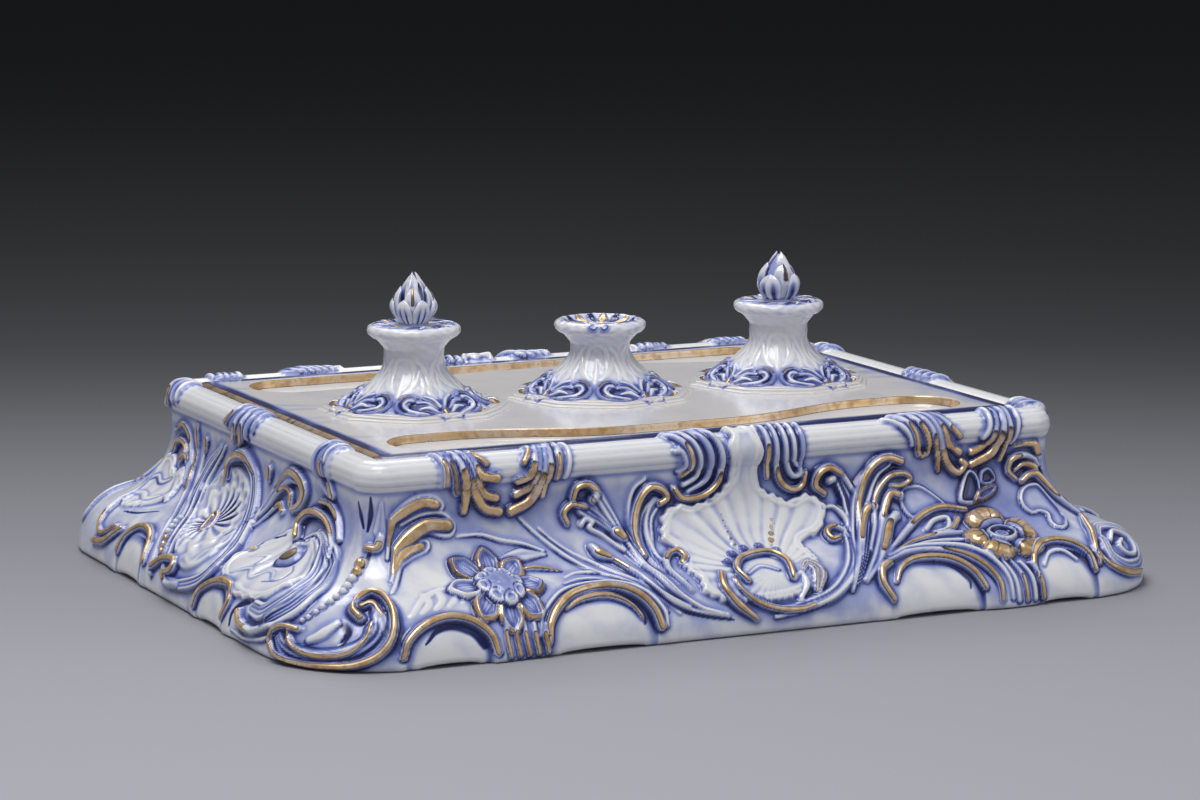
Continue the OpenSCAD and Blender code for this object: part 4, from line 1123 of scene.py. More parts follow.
    def medallion(self, to_run: Turning) -> None:
        """Models the fluted oval rosette of the side.

        Args:
            to_run: Turns the first number of a point into a run round the deck.
        """
        outline = tuple((to_run(y), v) for y, v in ((34, 61), (42, 51), (38, 40), (24, 29), (8, 18), (-8, 14),
            (-18, 18), (-20, 28), (-12, 40), (-4, 52), (6, 60), (20, 64)))
        sel, deep, _, _ = self.relief.patch(outline, 5)
        u, v = self.u.ravel()[sel], self.v.ravel()[sel]
        dx, dv = u - to_run(14), v - 37.5
        rad, ang = np.hypot(dx, 0.8 * dv), np.arctan2(dv, dx)
        rho = rad / np.maximum(rad + np.maximum(deep, 0), 1e-6)
        flute = np.cos(ang * 17 + 1.2 * np.sin(rho * 5))
        ruffle = swell(rho - 0.68 - 0.05 * np.sin(ang * 15),
            0.05) + 0.8 * swell(rho - 0.88 - 0.04 * np.sin(ang * 19 + 1), 0.045)
        shape = 0.7 + 0.7 * rho + 0.3 * flute * smooth(rho, 0.1, 0.3) * smooth(rho, 1.0, 0.7) + 0.5 * ruffle
        rel = self.relief
        rel.raise_to(sel, deep > 0, shape * smooth(deep, 0, 1.2))
        spread = 0.55 + 0.45 * np.cos(2 * (ang - math.radians(55)))
        blue = 0.12 + 1.3 * smooth(-flute, -0.5, 0.6) * smooth(rho, 0.75, 0.35) * spread + 0.2 * smooth(rho, 0.7, 0.98)
        rel.paint(sel, smooth(deep, -0.2, 0.5), 0, blue)
        self.lay_all([
            gold_roll((0.8, 1, 0.8), 1.8, 10.5, 32, 14, 33.5, 18.5, 39.5, 19, 43, 15, 41.5, 10.5, 36, 10.5, 32,
                edge=0.9),
            line((0.6, 0.8, 0.6), 0.8, 12, 34, 15, 37.5, 18, 41.5, crest=DULL),
        ], to_run)

    def corner_strokes(self) -> None:
        """Lays the ornament of the front corners, whose points are an angle and the run up."""

        def at_left(a: float) -> float:
            """Run round the deck's edge of an angle at the left corner, 0 to the left and 90 to the front."""
            return -self.half_l - self.corner_run * (90 - a) / 90

        def at_right(a: float) -> float:
            """Run round the deck's edge of an angle at the right corner, 0 to the front and 90 to the right."""
            return self.half_l + self.corner_run * a / 90

        self.lay_all([
            roll((0.6, 1.2, 1.4, 0.9), 2.2, -24, 55, -4, 49, 12, 42, 22, 32.5, 22, 21, 12, 13.5, -4, 8, -16, 8,
                edge=0.9),
            band((1.4, 2.8, 3.2, 3, 2), 1.8, -22, 50, 0, 44, 14, 33, 15, 22, 2, 13, edge=0.8),
            line((0.5, 1.4, 0.6), 0.5, 44.5, 72, 45, 67, 40, 60),
            line((0.5, 1.2, 0.6), 0.5, 10, 70, 18, 66, 30, 61),
            gold_roll((1.4, 1.6, 1.2), 2, 66, 58, 60, 54, 44, 54, gilt=(0.2, 1), edge=0.8),
            leaf((0.8, 2.4), 1.2, 68, 70, 64, 60, crest=WASH, edge=0.5),
            line((0.8, 1.6), 0.5, 50, 52, 46, 47),
        ], at_left)
        for k, (a, v) in enumerate(((40, 48), (40, 44.3), (38.5, 40.6), (38, 37), (38.5, 33.4), (37.8, 29.4),
                (36.2, 26), (34, 23), (31.5, 20.5), (29, 18.3), (26.5, 16.5))):
            self.string("corner_beads", (at_left(a), v), 1.9 - 0.1 * k, k < 2)
        self.lay_all([
            band((1.6, 3, 3.4, 3.6, 3.2, 1.8), 2.6, 15, 10, 20, 6.5, 30, 4.2, 44, 3.8, 58, 7, 67, 14, 65, 24, edge=0.9),
            gold_roll((0.7, 0.8, 0.8, 0.7), 3.2, 21.5, 12.5, 24, 8.5, 32, 5.6, 43, 5, 53, 6.5, 60, 11, 62.5, 17),
            gold_roll((1.4, 1.6, 1.5, 1.4, 1.3, 1.1, 1, 0.9), 4.2, 57, 19, 52.5, 22.5, 54.5, 28, 61, 31, 68.5, 28.5, 73,
                21, 72, 12, 66, 6, 56, 2.8, 44, 1.8, 30, 1.8, 18, 3, 12, 6.5, 12, 10.5, 18, 13, 27, 13),
            line((0.8, 1.8, 0.9), 0.8, 47, 18, 52, 14, 50, 9.5),
            roll((1.2, 2.2, 1.4), 1.6, 46, 17, 40, 12.5, 34, 10, edge=0.8),
            roll((1.4, 1.6, 1), 2.4, 56, 24, 62, 26, 67, 21, crest=DULL),
            roll((0.6, 0.9), 1, 50, 31, 60, 34, 70, 33, edge=0.8),
        ], at_left)
        self.relief.petal(
            ((123.6, 47.5), (124.4, 52.5), (128, 56), (134, 56.2), (140.5, 52.8), (145.8, 46.5), (146.4, 40),
                (142, 35.2), (136.6, 33), (132.6, 34.4), (131.8, 38.5), (132.4, 42.2), (130, 43.4), (126.4, 43)),
            1.8, 0.8, 0.6, WASH, BLUE, edge=1.0)
        self.lay_all([
            gold_leaf((0.6, 1.7, 0.9), 2.2, 124, 71, 130, 72, 137, 70, 146, 61, gilt=(0, 0.7), edge=0.9),
            gold_roll((0.9, 1.4, 0.8), 2.6, 124, 58.5, 121, 62, 123, 66.5, 129, 67.5, 138, 63, gilt=(0, 0.6)),
            gold_leaf((0.6, 1.5, 0.8), 2.4, 124, 61.5, 127.5, 64, 132, 63, 138, 58, gilt=(0, 0.8)),
            gold_roll((1.2, 1.6, 1.2, 0.7), 2.8, 126.5, 57.5, 131, 60, 138, 58.5, 150, 52, 160, 44, 165, 36,
                gilt=(0, 0.6), edge=0.9),
        ])
        self.lay_all([
            gold_roll((0.6, 1.4, 1.4, 0.8), 2.4, 48, 39, 30, 32, 16, 22, 12, 13),
            band((1.4, 2.6, 2.6, 2.2), 2.4, 22, 24, 36, 29, 54, 24, 62, 14, 50, 9, 32, 9.5, 22, 15, 24, 22, hollow=WASH,
                edge=0.9),
            roll((0.8, 1, 0.8), 2.6, 30, 21, 42, 24, 52, 18, 46, 13, 36, 14, 34, 18, 42, 19.5),
            gold_roll((0.9, 1.5, 1.2), 2.6, 14, 18, 18, 12, 30, 7.5, 46, 5.5, edge=0.9),
        ], at_right)

    def half_mesh(self, first: int, last: int, name: str, turned: bool) -> bpy.types.Object:
        """Makes one closed piece of the skirt.

        Args:
            first: Index of its first column.
            last: Index of its last column.
            name: Name of the piece.
            turned: True for the copy turned half round the middle.

        Returns:
            The piece.
        """
        cols = slice(first, last + 1)
        outer, outer_n = self.skin[: self.split + 1, cols], self.skin_normals[: self.split + 1, cols]
        u = self.cols[cols]
        x, y, nx, ny = self.edge_at(u)
        inner, inner_n = [], []
        top_v = self.skirt_run
        for v in (top_v, 62.0, 50.0, 38.0, 26.0, 14.0, 0.0):
            vv = v + self.arch_rise(u) * max(0.0, 1 - v / 22)
            r, z = self.section_at(vv)
            out, up = self.section_normal(np.clip(vv, 0.5, top_v - 0.5))
            if v == 0.0 or v == top_v:
                out, up = np.ones_like(u), np.zeros_like(u)
            thick = self.thick + self.niche_depth(u, vv)[0]
            rr, zz = r - thick * out, z - thick * up
            inner.append(np.stack([x + nx * rr, y + ny * rr, np.maximum(zz, 0.0) if v else z], -1))
            inner_n.append(np.stack([-nx * out, -ny * out, -up], -1))
        pts = np.concatenate([outer, np.array(inner)])
        nrm = np.concatenate([outer_n, np.array(inner_n)])
        rows, count = pts.shape[:2]
        faces = quads(rows, count, False, loop=True).tolist()
        faces.append([r * count for r in range(rows)][::-1])
        faces.append([r * count + count - 1 for r in range(rows)])
        if turned:
            pts, nrm = pts * (-1, -1, 1), nrm * (-1, -1, 1)
        pad = np.zeros((len(inner), count))
        gold = np.concatenate([self.gold[: self.split + 1, cols], pad])
        blue = np.concatenate([self.blue[: self.split + 1, cols], pad + 0.05])
        return mesh_object(name, pts.reshape(-1, 3), faces, nrm.reshape(-1, 3),
            {"gilding": gold.ravel(), "cobalt": blue.ravel()})

    def rim_mesh(self) -> bpy.types.Object:
        """Makes the closed ring of the rim.

        Returns:
            The ring.
        """
        skin, nrm = self.skin[self.split :, :-1], self.skin_normals[self.split :, :-1]
        u = self.cols[:-1]
        x, y, nx, ny = self.edge_at(u)
        under, under_n = [], []
        for r, z, a, b in ((0, 62, -1, 0), (-5, 62, -0.7, 0.7), (-5, 54, -0.7, -0.7), (self.neck_out, 54, 0, -1)):
            if r < 0:
                px, py = np.clip(x, -self.half_l - r, self.half_l + r), np.clip(y, -self.half_w - r, self.half_w + r)
            else:
                px, py = x + nx * r, y + ny * r
            under.append(np.stack([px, py, np.full_like(px, z)], -1))
            under_n.append(np.stack([nx * a, ny * a, np.full_like(px, b)], -1))
        pts = np.concatenate([skin, np.array(under)[:-1]])
        normals = np.concatenate([nrm, np.array(under_n)[:-1]])
        both = np.concatenate([pts, pts * (-1, -1, 1)], 1)
        both_n = np.concatenate([normals, normals * (-1, -1, 1)], 1)
        rows, count = both.shape[:2]
        pad = np.zeros((3, len(u)))
        gold = np.concatenate([self.gold[self.split :, :-1], pad])
        blue = np.concatenate([self.blue[self.split :, :-1], pad + 0.05])
        paint = {"gilding": np.concatenate([gold, gold], 1).ravel(), "cobalt": np.concatenate([blue, blue], 1).ravel()}
        return mesh_object("reeded_rim", both.reshape(-1, 3), quads(rows, count, True, loop=True),
            both_n.reshape(-1, 3), paint)

    def build(self, finish: "Porcelain") -> None:
        """Builds the skirt and the rim and dresses them.

        Args:
            finish: Finish of what is built.
        """
        self.make_grid()
        self.carve()
        self.skin = self.relief.points()
        self.skin[..., 2] = np.maximum(self.skin[..., 2], 0.0)
        self.skin_normals = grid_normals(self.skin, False)
        self.gold, self.blue = self.relief.painted()
        s = self.starts
        spans = (
            (s[0], s[1], "left_wall", "right_wall"),
            (s[1], s[2], "front_left_foot", "back_right_foot"),
            (s[2], s[3], "front_wall", "back_wall"),
            (s[3], s[4], "front_right_foot", "back_left_foot"),
        )
        for first, last, name, turned_name in spans:
            for node, turned in ((name, False), (turned_name, True)):
                piece = self.half_mesh(first, last, "carved_" + node, turned)
                finish.dress(piece)
                fit(piece, "stand", "blue_washed_porcelain", node)
        rim = self.rim_mesh()
        finish.dress(rim)
        fit(rim, "stand", "reeded_porcelain", "rim_moulding")
        for name in self.strings:
            fit(self.bead_row(name, finish), "stand", "blue_washed_porcelain")


def fit(piece: bpy.types.Object, body: str, slot: str, *nodes: str) -> None:
    """Joins a piece to its body and hides the nodes that it stands for.

    Args:
        piece: The piece.
        body: Name of the body that carries it.
        slot: Not used.
        *nodes: Names of the nodes that it stands for.
    """
    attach(piece, body)
    if nodes:
        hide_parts(*nodes)
    LOG.info("%s: %d faces", piece.name, len(piece.data.polygons))


def bead_tree(finish: "Porcelain") -> bpy.types.NodeTree:
    """Makes the node tree that sets a round bead on every point.

    Args:
        finish: Finish of the beads.

    Returns:
        The tree, with its sizes as inputs.
    """
    tree = bpy.data.node_groups.new("bead_row", "GeometryNodeTree")
    for name, way, kind in (
        ("Points", "INPUT", "Geometry"), ("Size", "INPUT", "Float"), ("Segments", "INPUT", "Int"),
        ("Rings", "INPUT", "Int"), ("Beads", "OUTPUT", "Geometry"),
    ):
        tree.interface.new_socket(name, in_out=way, socket_type="NodeSocket" + kind)
    given, made = tree.nodes.new("NodeGroupInput"), tree.nodes.new("NodeGroupOutput")
    ball, radius, scale, smoothed, spread, real, paint = (
        tree.nodes.new(kind) for kind in (
            "GeometryNodeMeshUVSphere", "GeometryNodeInputNamedAttribute", "ShaderNodeMath",
            "GeometryNodeSetShadeSmooth",
            "GeometryNodeInstanceOnPoints", "GeometryNodeRealizeInstances", "GeometryNodeSetMaterial",
        )
    )
    radius.inputs["Name"].default_value = "radius"
    scale.operation = "MULTIPLY"
    ball.inputs["Radius"].default_value = 1.0
    paint.inputs["Material"].default_value = finish.material()
    for start, end in (
        (given.outputs["Segments"], ball.inputs["Segments"]), (given.outputs["Rings"], ball.inputs["Rings"]),
        (radius.outputs["Attribute"], scale.inputs[0]), (given.outputs["Size"], scale.inputs[1]),
        (ball.outputs["Mesh"], smoothed.inputs["Geometry"]), (given.outputs["Points"], spread.inputs["Points"]),
        (smoothed.outputs["Geometry"], spread.inputs["Instance"]), (scale.outputs["Value"], spread.inputs["Scale"]),
        (spread.outputs["Instances"], real.inputs["Geometry"]), (real.outputs["Geometry"], paint.inputs["Geometry"]),
        (paint.outputs["Geometry"], made.inputs["Beads"]),
    ):
        tree.links.new(start, end)
    return tree


def bead_row(name: str, places: Array, notes: Array, finish: "Porcelain") -> bpy.types.Object:
    """Strings round beads along a row.

    Args:
        name: Name of the piece.
        places: Middle of each bead in mm.
        notes: Radius in mm, gilding and cobalt of each bead, row by row.
        finish: Finish of the beads.

    Returns:
        The row as a plain mesh.
    """
    obj = mesh_object(name, places, [], paint=dict(zip(("radius", "gilding", "cobalt"), notes)))
    tree = bead_tree(finish)
    modifier = obj.modifiers.new("beads", "NODES")
    modifier.node_group = tree
    sizes = {"Size": MM, "Segments": 16, "Rings": 10}
    for item in tree.interface.items_tree:
        if item.name in sizes:
            modifier[item.identifier] = sizes[item.name]
    plain = bpy.data.meshes.new_from_object(obj.evaluated_get(bpy.context.evaluated_depsgraph_get()))
    obj.modifiers.clear()
    obj.data = plain
    return obj


@dataclass(frozen=True)
class Porcelain:
    """Glazed porcelain with cobalt and gilding laid by the piece's own attributes.

    Attributes:
        name: Name of the material.
        body: Colour of the bare glaze.
        wash: Colour of the thin cobalt wash.
        cobalt: Colour of a stronger stroke.
        deep: Colour where the cobalt pools.
        gold: Colour of the gilding.
        glaze: Roughness of the glaze.
    """

    name: str = "painted_porcelain"
    body: tuple[float, float, float] = (0.77, 0.775, 0.785)
    wash: tuple[float, float, float] = (0.29, 0.34, 0.62)
    cobalt: tuple[float, float, float] = (0.08, 0.11, 0.36)
    deep: tuple[float, float, float] = (0.012, 0.016, 0.085)
    gold: tuple[float, float, float] = (0.90, 0.63, 0.34)
    glaze: float = 0.22

    def material(self) -> bpy.types.Material:
        """Returns the material, made on first use.

        Returns:
            The material.
        """
        found = bpy.data.materials.get(self.name)
        if found:
            return found
        mat = bpy.data.materials.new(self.name)
        mat.use_nodes = True
        tree = mat.node_tree
        shader = tree.nodes["Principled BSDF"]
        shader.inputs["IOR"].default_value = 1.5
        shader.inputs["Coat Roughness"].default_value = 0.05
        group = tree.nodes.new("ShaderNodeGroup")
        group.node_tree = glaze_group()
        for key, colour in (("Body", self.body), ("Wash", self.wash), ("Cobalt", self.cobalt), ("Deep", self.deep),
                ("Gold", self.gold)):
            group.inputs[key].default_value = (*colour, 1)
        group.inputs["Glaze"].default_value = self.glaze
        for key, socket in (("gilding", "Gilding"), ("cobalt", "Pooled")):
            attr = tree.nodes.new("ShaderNodeAttribute")
            attr.attribute_name = key
            tree.links.new(attr.outputs["Fac"], group.inputs[socket])
        bump = tree.nodes.new("ShaderNodeBump")
        bump.inputs["Strength"].default_value = 0.25
        bump.inputs["Distance"].default_value = 0.0002
        for socket in ("Base Color", "Roughness", "Metallic", "Coat Weight"):
            tree.links.new(group.outputs[socket], shader.inputs[socket])
        tree.links.new(group.outputs["Bump Height"], bump.inputs["Height"])
        tree.links.new(bump.outputs["Normal"], shader.inputs["Normal"])
        return mat

    def dress(self, obj: bpy.types.Object) -> None:
        """Gives the piece this finish."""
        obj.data.materials.clear()
        obj.data.materials.append(self.material())


class NodeWriter:
    """Writes math and colour nodes into a node tree."""

    def __init__(self, tree: bpy.types.NodeTree) -> None:
        """Keeps the tree."""
        self.tree = tree

    def node(self, kind: str, **settings: str) -> bpy.types.Node:
        """Adds a node with its settings.

        Args:
            kind: Kind of node.
            **settings: Values of its properties.

        Returns:
            The node.
        """
        n = self.tree.nodes.new(kind)
        for key, value in settings.items():
            setattr(n, key, value)
        return n

    def put(self, node: bpy.types.Node, index: int | str, value: Value) -> None:
        """Sets an input or links it.

        Args:
            node: The node.
            index: Number or name of the input.
            value: A value, or the socket to link.
        """
        if isinstance(value, bpy.types.NodeSocket):
            self.tree.links.new(value, node.inputs[index])
        else:
            node.inputs[index].default_value = value

    def math(self, operation: str, a: Value, b: Value) -> bpy.types.NodeSocket:
        """Adds a math node and returns its value.

        Args:
            operation: Name of the operation.
            a: First input.
            b: Second input.

        Returns:
            The result.
        """
        n = self.node("ShaderNodeMath", operation=operation)
        self.put(n, 0, a)
        self.put(n, 1, b)
        return n.outputs[0]

    def step(
        self, value: Value, low: float, high: float, to_low: float = 0.0, to_high: float = 1.0, way: str = "SMOOTHSTEP"
    ) -> bpy.types.NodeSocket:
        """Adds a map from one range to another, smooth or straight.

        Args:
            value: What is mapped.
            low: Start of the range.
            high: End of the range.
            to_low: Result at the start.
            to_high: Result at the end.
            way: Smooth step or straight.

        Returns:
            The mapped value.
        """
        n = self.node("ShaderNodeMapRange", interpolation_type=way)
        for key, v in zip(("Value", "From Min", "From Max", "To Min", "To Max"), (value, low, high, to_low, to_high)):
            self.put(n, key, v)
        return n.outputs["Result"]

    def stirred(self, base: Value, noise: Value, amount: float) -> bpy.types.NodeSocket:
        """Adds a noise's swing about its middle to a value."""
        return self.math("ADD", base, self.math("MULTIPLY", self.math("SUBTRACT", noise, 0.5), amount))

    def mix(self, factor: Value, a: Value, b: Value) -> bpy.types.NodeSocket:
        """Adds a colour mix.

        Args:
            factor: Share of the second colour.
            a: First colour.
            b: Second colour.

        Returns:
            The colour.
        """
        n = self.node("ShaderNodeMix", data_type="RGBA")
        self.put(n, 0, factor)
        self.put(n, 6, a)
        self.put(n, 7, b)
        return n.outputs[2]

    def noise(self, coords: Value, scale: float, detail: float) -> bpy.types.NodeSocket:
        """Adds a noise texture and returns its value.

        Args:
            coords: Where it is read.
            scale: How fine it is.
            detail: Octaves.

        Returns:
            The value.
        """
        n = self.node("ShaderNodeTexNoise")
        self.put(n, "Vector", coords)
        n.inputs["Scale"].default_value = scale
        n.inputs["Detail"].default_value = detail
        return n.outputs["Fac"]


def glaze_group() -> bpy.types.NodeTree:
    """Node group that turns the painted attributes into glaze, cobalt and gold.

    Returns:
        The group, made on first use.
    """
    found = bpy.data.node_groups.get("painted_glaze")
    if found:
        return found
    tree = bpy.data.node_groups.new("painted_glaze", "ShaderNodeTree")
    for way, kind, keys in (
        ("INPUT", "Float", ("Gilding", "Pooled", "Glaze")),
        ("INPUT", "Color", ("Body", "Wash", "Cobalt", "Deep", "Gold")),
        ("OUTPUT", "Color", ("Base Color",)),
        ("OUTPUT", "Float", ("Roughness", "Metallic", "Coat Weight", "Bump Height")),
    ):
        for key in keys:
            tree.interface.new_socket(key, in_out=way, socket_type="NodeSocket" + kind)
    w = NodeWriter(tree)
    given = w.node("NodeGroupInput").outputs
    result = w.node("NodeGroupOutput")
    coords = w.node("ShaderNodeTexCoord").outputs["Object"]
    cloud = w.noise(coords, 55.0, 3.0)
    grain = w.noise(coords, 900.0, 2.0)
    brush = w.noise(coords, 260.0, 3.0)
    pooled = w.stirred(given["Pooled"], cloud, 0.22)
    pooled = w.stirred(pooled, brush, 0.16)
    tint = w.mix(w.step(pooled, 0.02, 0.42), given["Body"], given["Wash"])
    tint = w.mix(w.step(pooled, 0.38, 0.74), tint, given["Cobalt"])
    tint = w.mix(w.step(pooled, 0.70, 1.0), tint, given["Deep"])
    leaf = w.stirred(given["Gilding"], brush, 0.35)
    gilded = w.step(leaf, 0.42, 0.62)
    # Gilding tone: pale peach patches are painted highlights, brown blotches are wear, and the near-black where the
    # gilding thins at its edges is painted shade.
    gilt_wear_and_painted_light = w.mix(w.step(cloud, 0.40, 0.66, 0.0, 0.7), given["Gold"], (0.98, 0.82, 0.66, 1))
    gilt_wear_and_painted_light = w.mix(w.step(brush, 0.42, 0.70, 0.0, 0.65), gilt_wear_and_painted_light, (0.46, 0.25, 0.09, 1))
    gilt_wear_and_painted_light = w.mix(w.step(leaf, 0.55, 1.0), (0.06, 0.035, 0.04, 1), gilt_wear_and_painted_light)
    w.put(result, "Base Color", w.mix(gilded, tint, gilt_wear_and_painted_light))
    rough = w.stirred(given["Glaze"], brush, 0.05)
    mix_rough = w.node("ShaderNodeMix", data_type="FLOAT")
    w.put(mix_rough, 0, gilded)
    w.put(mix_rough, 2, rough)
    w.put(mix_rough, 3, w.step(brush, 0.2, 0.8, 0.26, 0.4))
    w.put(result, "Roughness", mix_rough.outputs[0])
    w.put(result, "Metallic", w.math("MULTIPLY", gilded, 0.62))
    w.put(result, "Coat Weight", w.math("MULTIPLY", w.math("SUBTRACT", 1.0, gilded), 0.25))
    fine = w.math("ADD", w.math("MULTIPLY", grain, 0.25), w.math("MULTIPLY", brush, 0.75))
    w.put(result, "Bump Height", fine)
    return tree


def rings(rows: list[Array], loop: bool) -> tuple[Array, list]:
    """Skins a stack of rings, where a ring of one point is a pole.

    Args:
        rows: Rings of points, each counter-clockwise seen from above, outwards where they rise.
        loop: True to join the last ring to the first.

    Returns:
        The points and the faces.
    """
    cols = max(len(r) for r in rows)
    index, start = [], 0
    for row in rows:
        index.append(np.full(cols, start) if len(row) == 1 else np.arange(start, start + cols))
        start += len(row)
    faces = []
    for k in range(len(rows) if loop else len(rows) - 1):
        a, b = index[k], index[(k + 1) % len(rows)]
        a2, b2 = np.roll(a, -1), np.roll(b, -1)
        if a[0] == a2[0]:
            faces += np.stack([a, b2, b], 1).tolist()
        elif b[0] == b2[0]:
            faces += np.stack([a, a2, b], 1).tolist()
        else:
            faces += np.stack([a, a2, b2, b], 1).tolist()
    return np.concatenate(rows), faces


def filled(loops: list[Array], z: float, up: bool) -> tuple[Array, list]:
    """Fills a flat outline that may have holes.

    Args:
        loops: The outline and its holes, each a ring of points.
        z: Height of the sheet.
        up: True for faces that look up.

    Returns:
        The points and the triangles.
    """
    bm = bmesh.new()
    edges = []
    for loop in loops:
        vs = [bm.verts.new((p[0], p[1], z)) for p in loop]
        edges += [bm.edges.new((a, b)) for a, b in zip(vs, vs[1:] + vs[:1])]
    bmesh.ops.triangle_fill(bm, use_beauty=True, use_dissolve=False, edges=edges, normal=(0, 0, 1))
    bm.verts.index_update()
    pts = np.array([v.co[:] for v in bm.verts])
    faces = []
    for f in bm.faces:
        ids = [v.index for v in f.verts]
        faces.append(ids if (f.normal.z > 0) == up else ids[::-1])
    bm.free()
    return pts, faces


class Clay:
    """Collects the parts of one mesh, with the paint of each point."""

    def __init__(self) -> None:
        """Starts empty."""
        self.points, self.faces, self.gold, self.blue = [], [], [], []
        self.count = 0

    def add(self, points: Array, faces: list, gold: Array | float = 0.0, blue: Array | float = 0.1) -> None:
        """Adds points and faces with their paint.

        Args:
            points: Points in mm.
            faces: Their faces.
            gold: Gold of each point, or of all.
            blue: Cobalt of each point, or of all.
        """
        n = len(points)
        self.points.append(np.asarray(points, float))
        self.faces += [[i + self.count for i in f] for f in faces]
        self.gold.append(np.broadcast_to(np.asarray(gold, float), n))
        self.blue.append(np.broadcast_to(np.asarray(blue, float), n))
        self.count += n

    def fire(self, name: str, finish: "Porcelain", sharp: float = 180.0) -> bpy.types.Object:
        """Makes the mesh object.

        Args:
            name: Name of the piece.
            finish: Its finish.
            sharp: Angle in degrees above which an edge is kept sharp.

        Returns:
            The piece.
        """
        paint = {"gilding": np.concatenate(self.gold), "cobalt": np.concatenate(self.blue)}
        obj = mesh_object(name, np.concatenate(self.points), self.faces, None, paint)
        bm = bmesh.new()
        bm.from_mesh(obj.data)
        bmesh.ops.remove_doubles(bm, verts=bm.verts, dist=1e-7)
        bm.to_mesh(obj.data)
        bm.free()
        if sharp < 180:
            obj.data.set_sharp_from_angle(angle=math.radians(sharp))
        finish.dress(obj)
        return obj


def circle(radius: float, z: float, x: float = 0.0, count: int = 96) -> Array:
    """Ring of points round an upright axis, or one point where the radius is 0.

    Args:
        radius: Radius in mm.
        z: Height in mm.
        x: Place of the axis in mm.
        count: Number of points.

    Returns:
        The points.
    """
    if radius <= 0:
        return np.array([[x, 0.0, z]])
    t = np.arange(count) / count * 2 * math.pi
    return np.stack([x + radius * np.cos(t), radius * np.sin(t), np.full(count, z)], 1)


@dataclass
class Turned:
    """Surface of revolution that strokes are modelled on, its points an angle and a run up the section.

    Attributes:
        section: Radius and height of the outer section, from the foot inwards and up.
        x: Place of its axis.
        cell: Spacing of the rows in mm.
        cols: Points round it.
    """

    section: Array
    x: float
    cell: float = 0.3
    cols: int = 360

    def __post_init__(self) -> None:
        """Lays out the grid."""
        self.run = run_along(self.section)
        count = int(self.run[-1] / self.cell) + 1
        self.s = np.linspace(0, self.run[-1], count)
        self.a = np.arange(self.cols) * 360.0 / self.cols
        shape = (count, self.cols)
        angles, runs = np.broadcast_to(self.a, shape), np.broadcast_to(self.s[:, None], shape)
        self.angle, self.up = angles.ravel(), runs.ravel()
        base = self.place(angles, runs)
        r0, z0 = self.at(self.s - 0.3)
        r1, z1 = self.at(self.s + 0.3)
        length = np.maximum(np.hypot(r1 - r0, z1 - z0), 1e-9)
        out, up = ((z1 - z0) / length)[:, None], (-(r1 - r0) / length)[:, None]
        t = np.radians(self.a)[None]
        normal = np.stack([out * np.cos(t), out * np.sin(t), up + 0 * t], -1)
        self.relief = Relief(base, normal, True, self.place)

    def at(self, s: Array) -> tuple[Array, Array]:
        """Radius and height at a run up the section."""
        return np.interp(s, self.run, self.section[:, 0]), np.interp(s, self.run, self.section[:, 1])

    def place(self, a: Array, s: Array) -> Array:
        """Points of the bare surface at angles in degrees and runs up.

        Args:
            a: Angles in degrees.
            s: Runs up the section in mm.

        Returns:
            The points in mm.
        """
        r, z = self.at(s)
        t = np.radians(a)
        return np.stack([self.x + r * np.cos(t), r * np.sin(t), z], -1)

    def mirrored(self, strokes: list[Stroke], axes: tuple[float, ...]) -> None:
        """Lays strokes on both sides of each axis, their angles counted from it.

        Args:
            strokes: The strokes.
            axes: Angles of the axes in degrees.
        """
        for axis in axes:
            for side in (-1, 1):
                for s in strokes:
                    self.relief.lay(replace(s, points=tuple((axis + side * a, b) for a, b in s.points)))

    def skin(self) -> tuple[list[Array], Array, Array]:
        """Rings of the finished surface, with the gold and the cobalt of each point."""
        return list(self.relief.points()), *self.relief.painted()


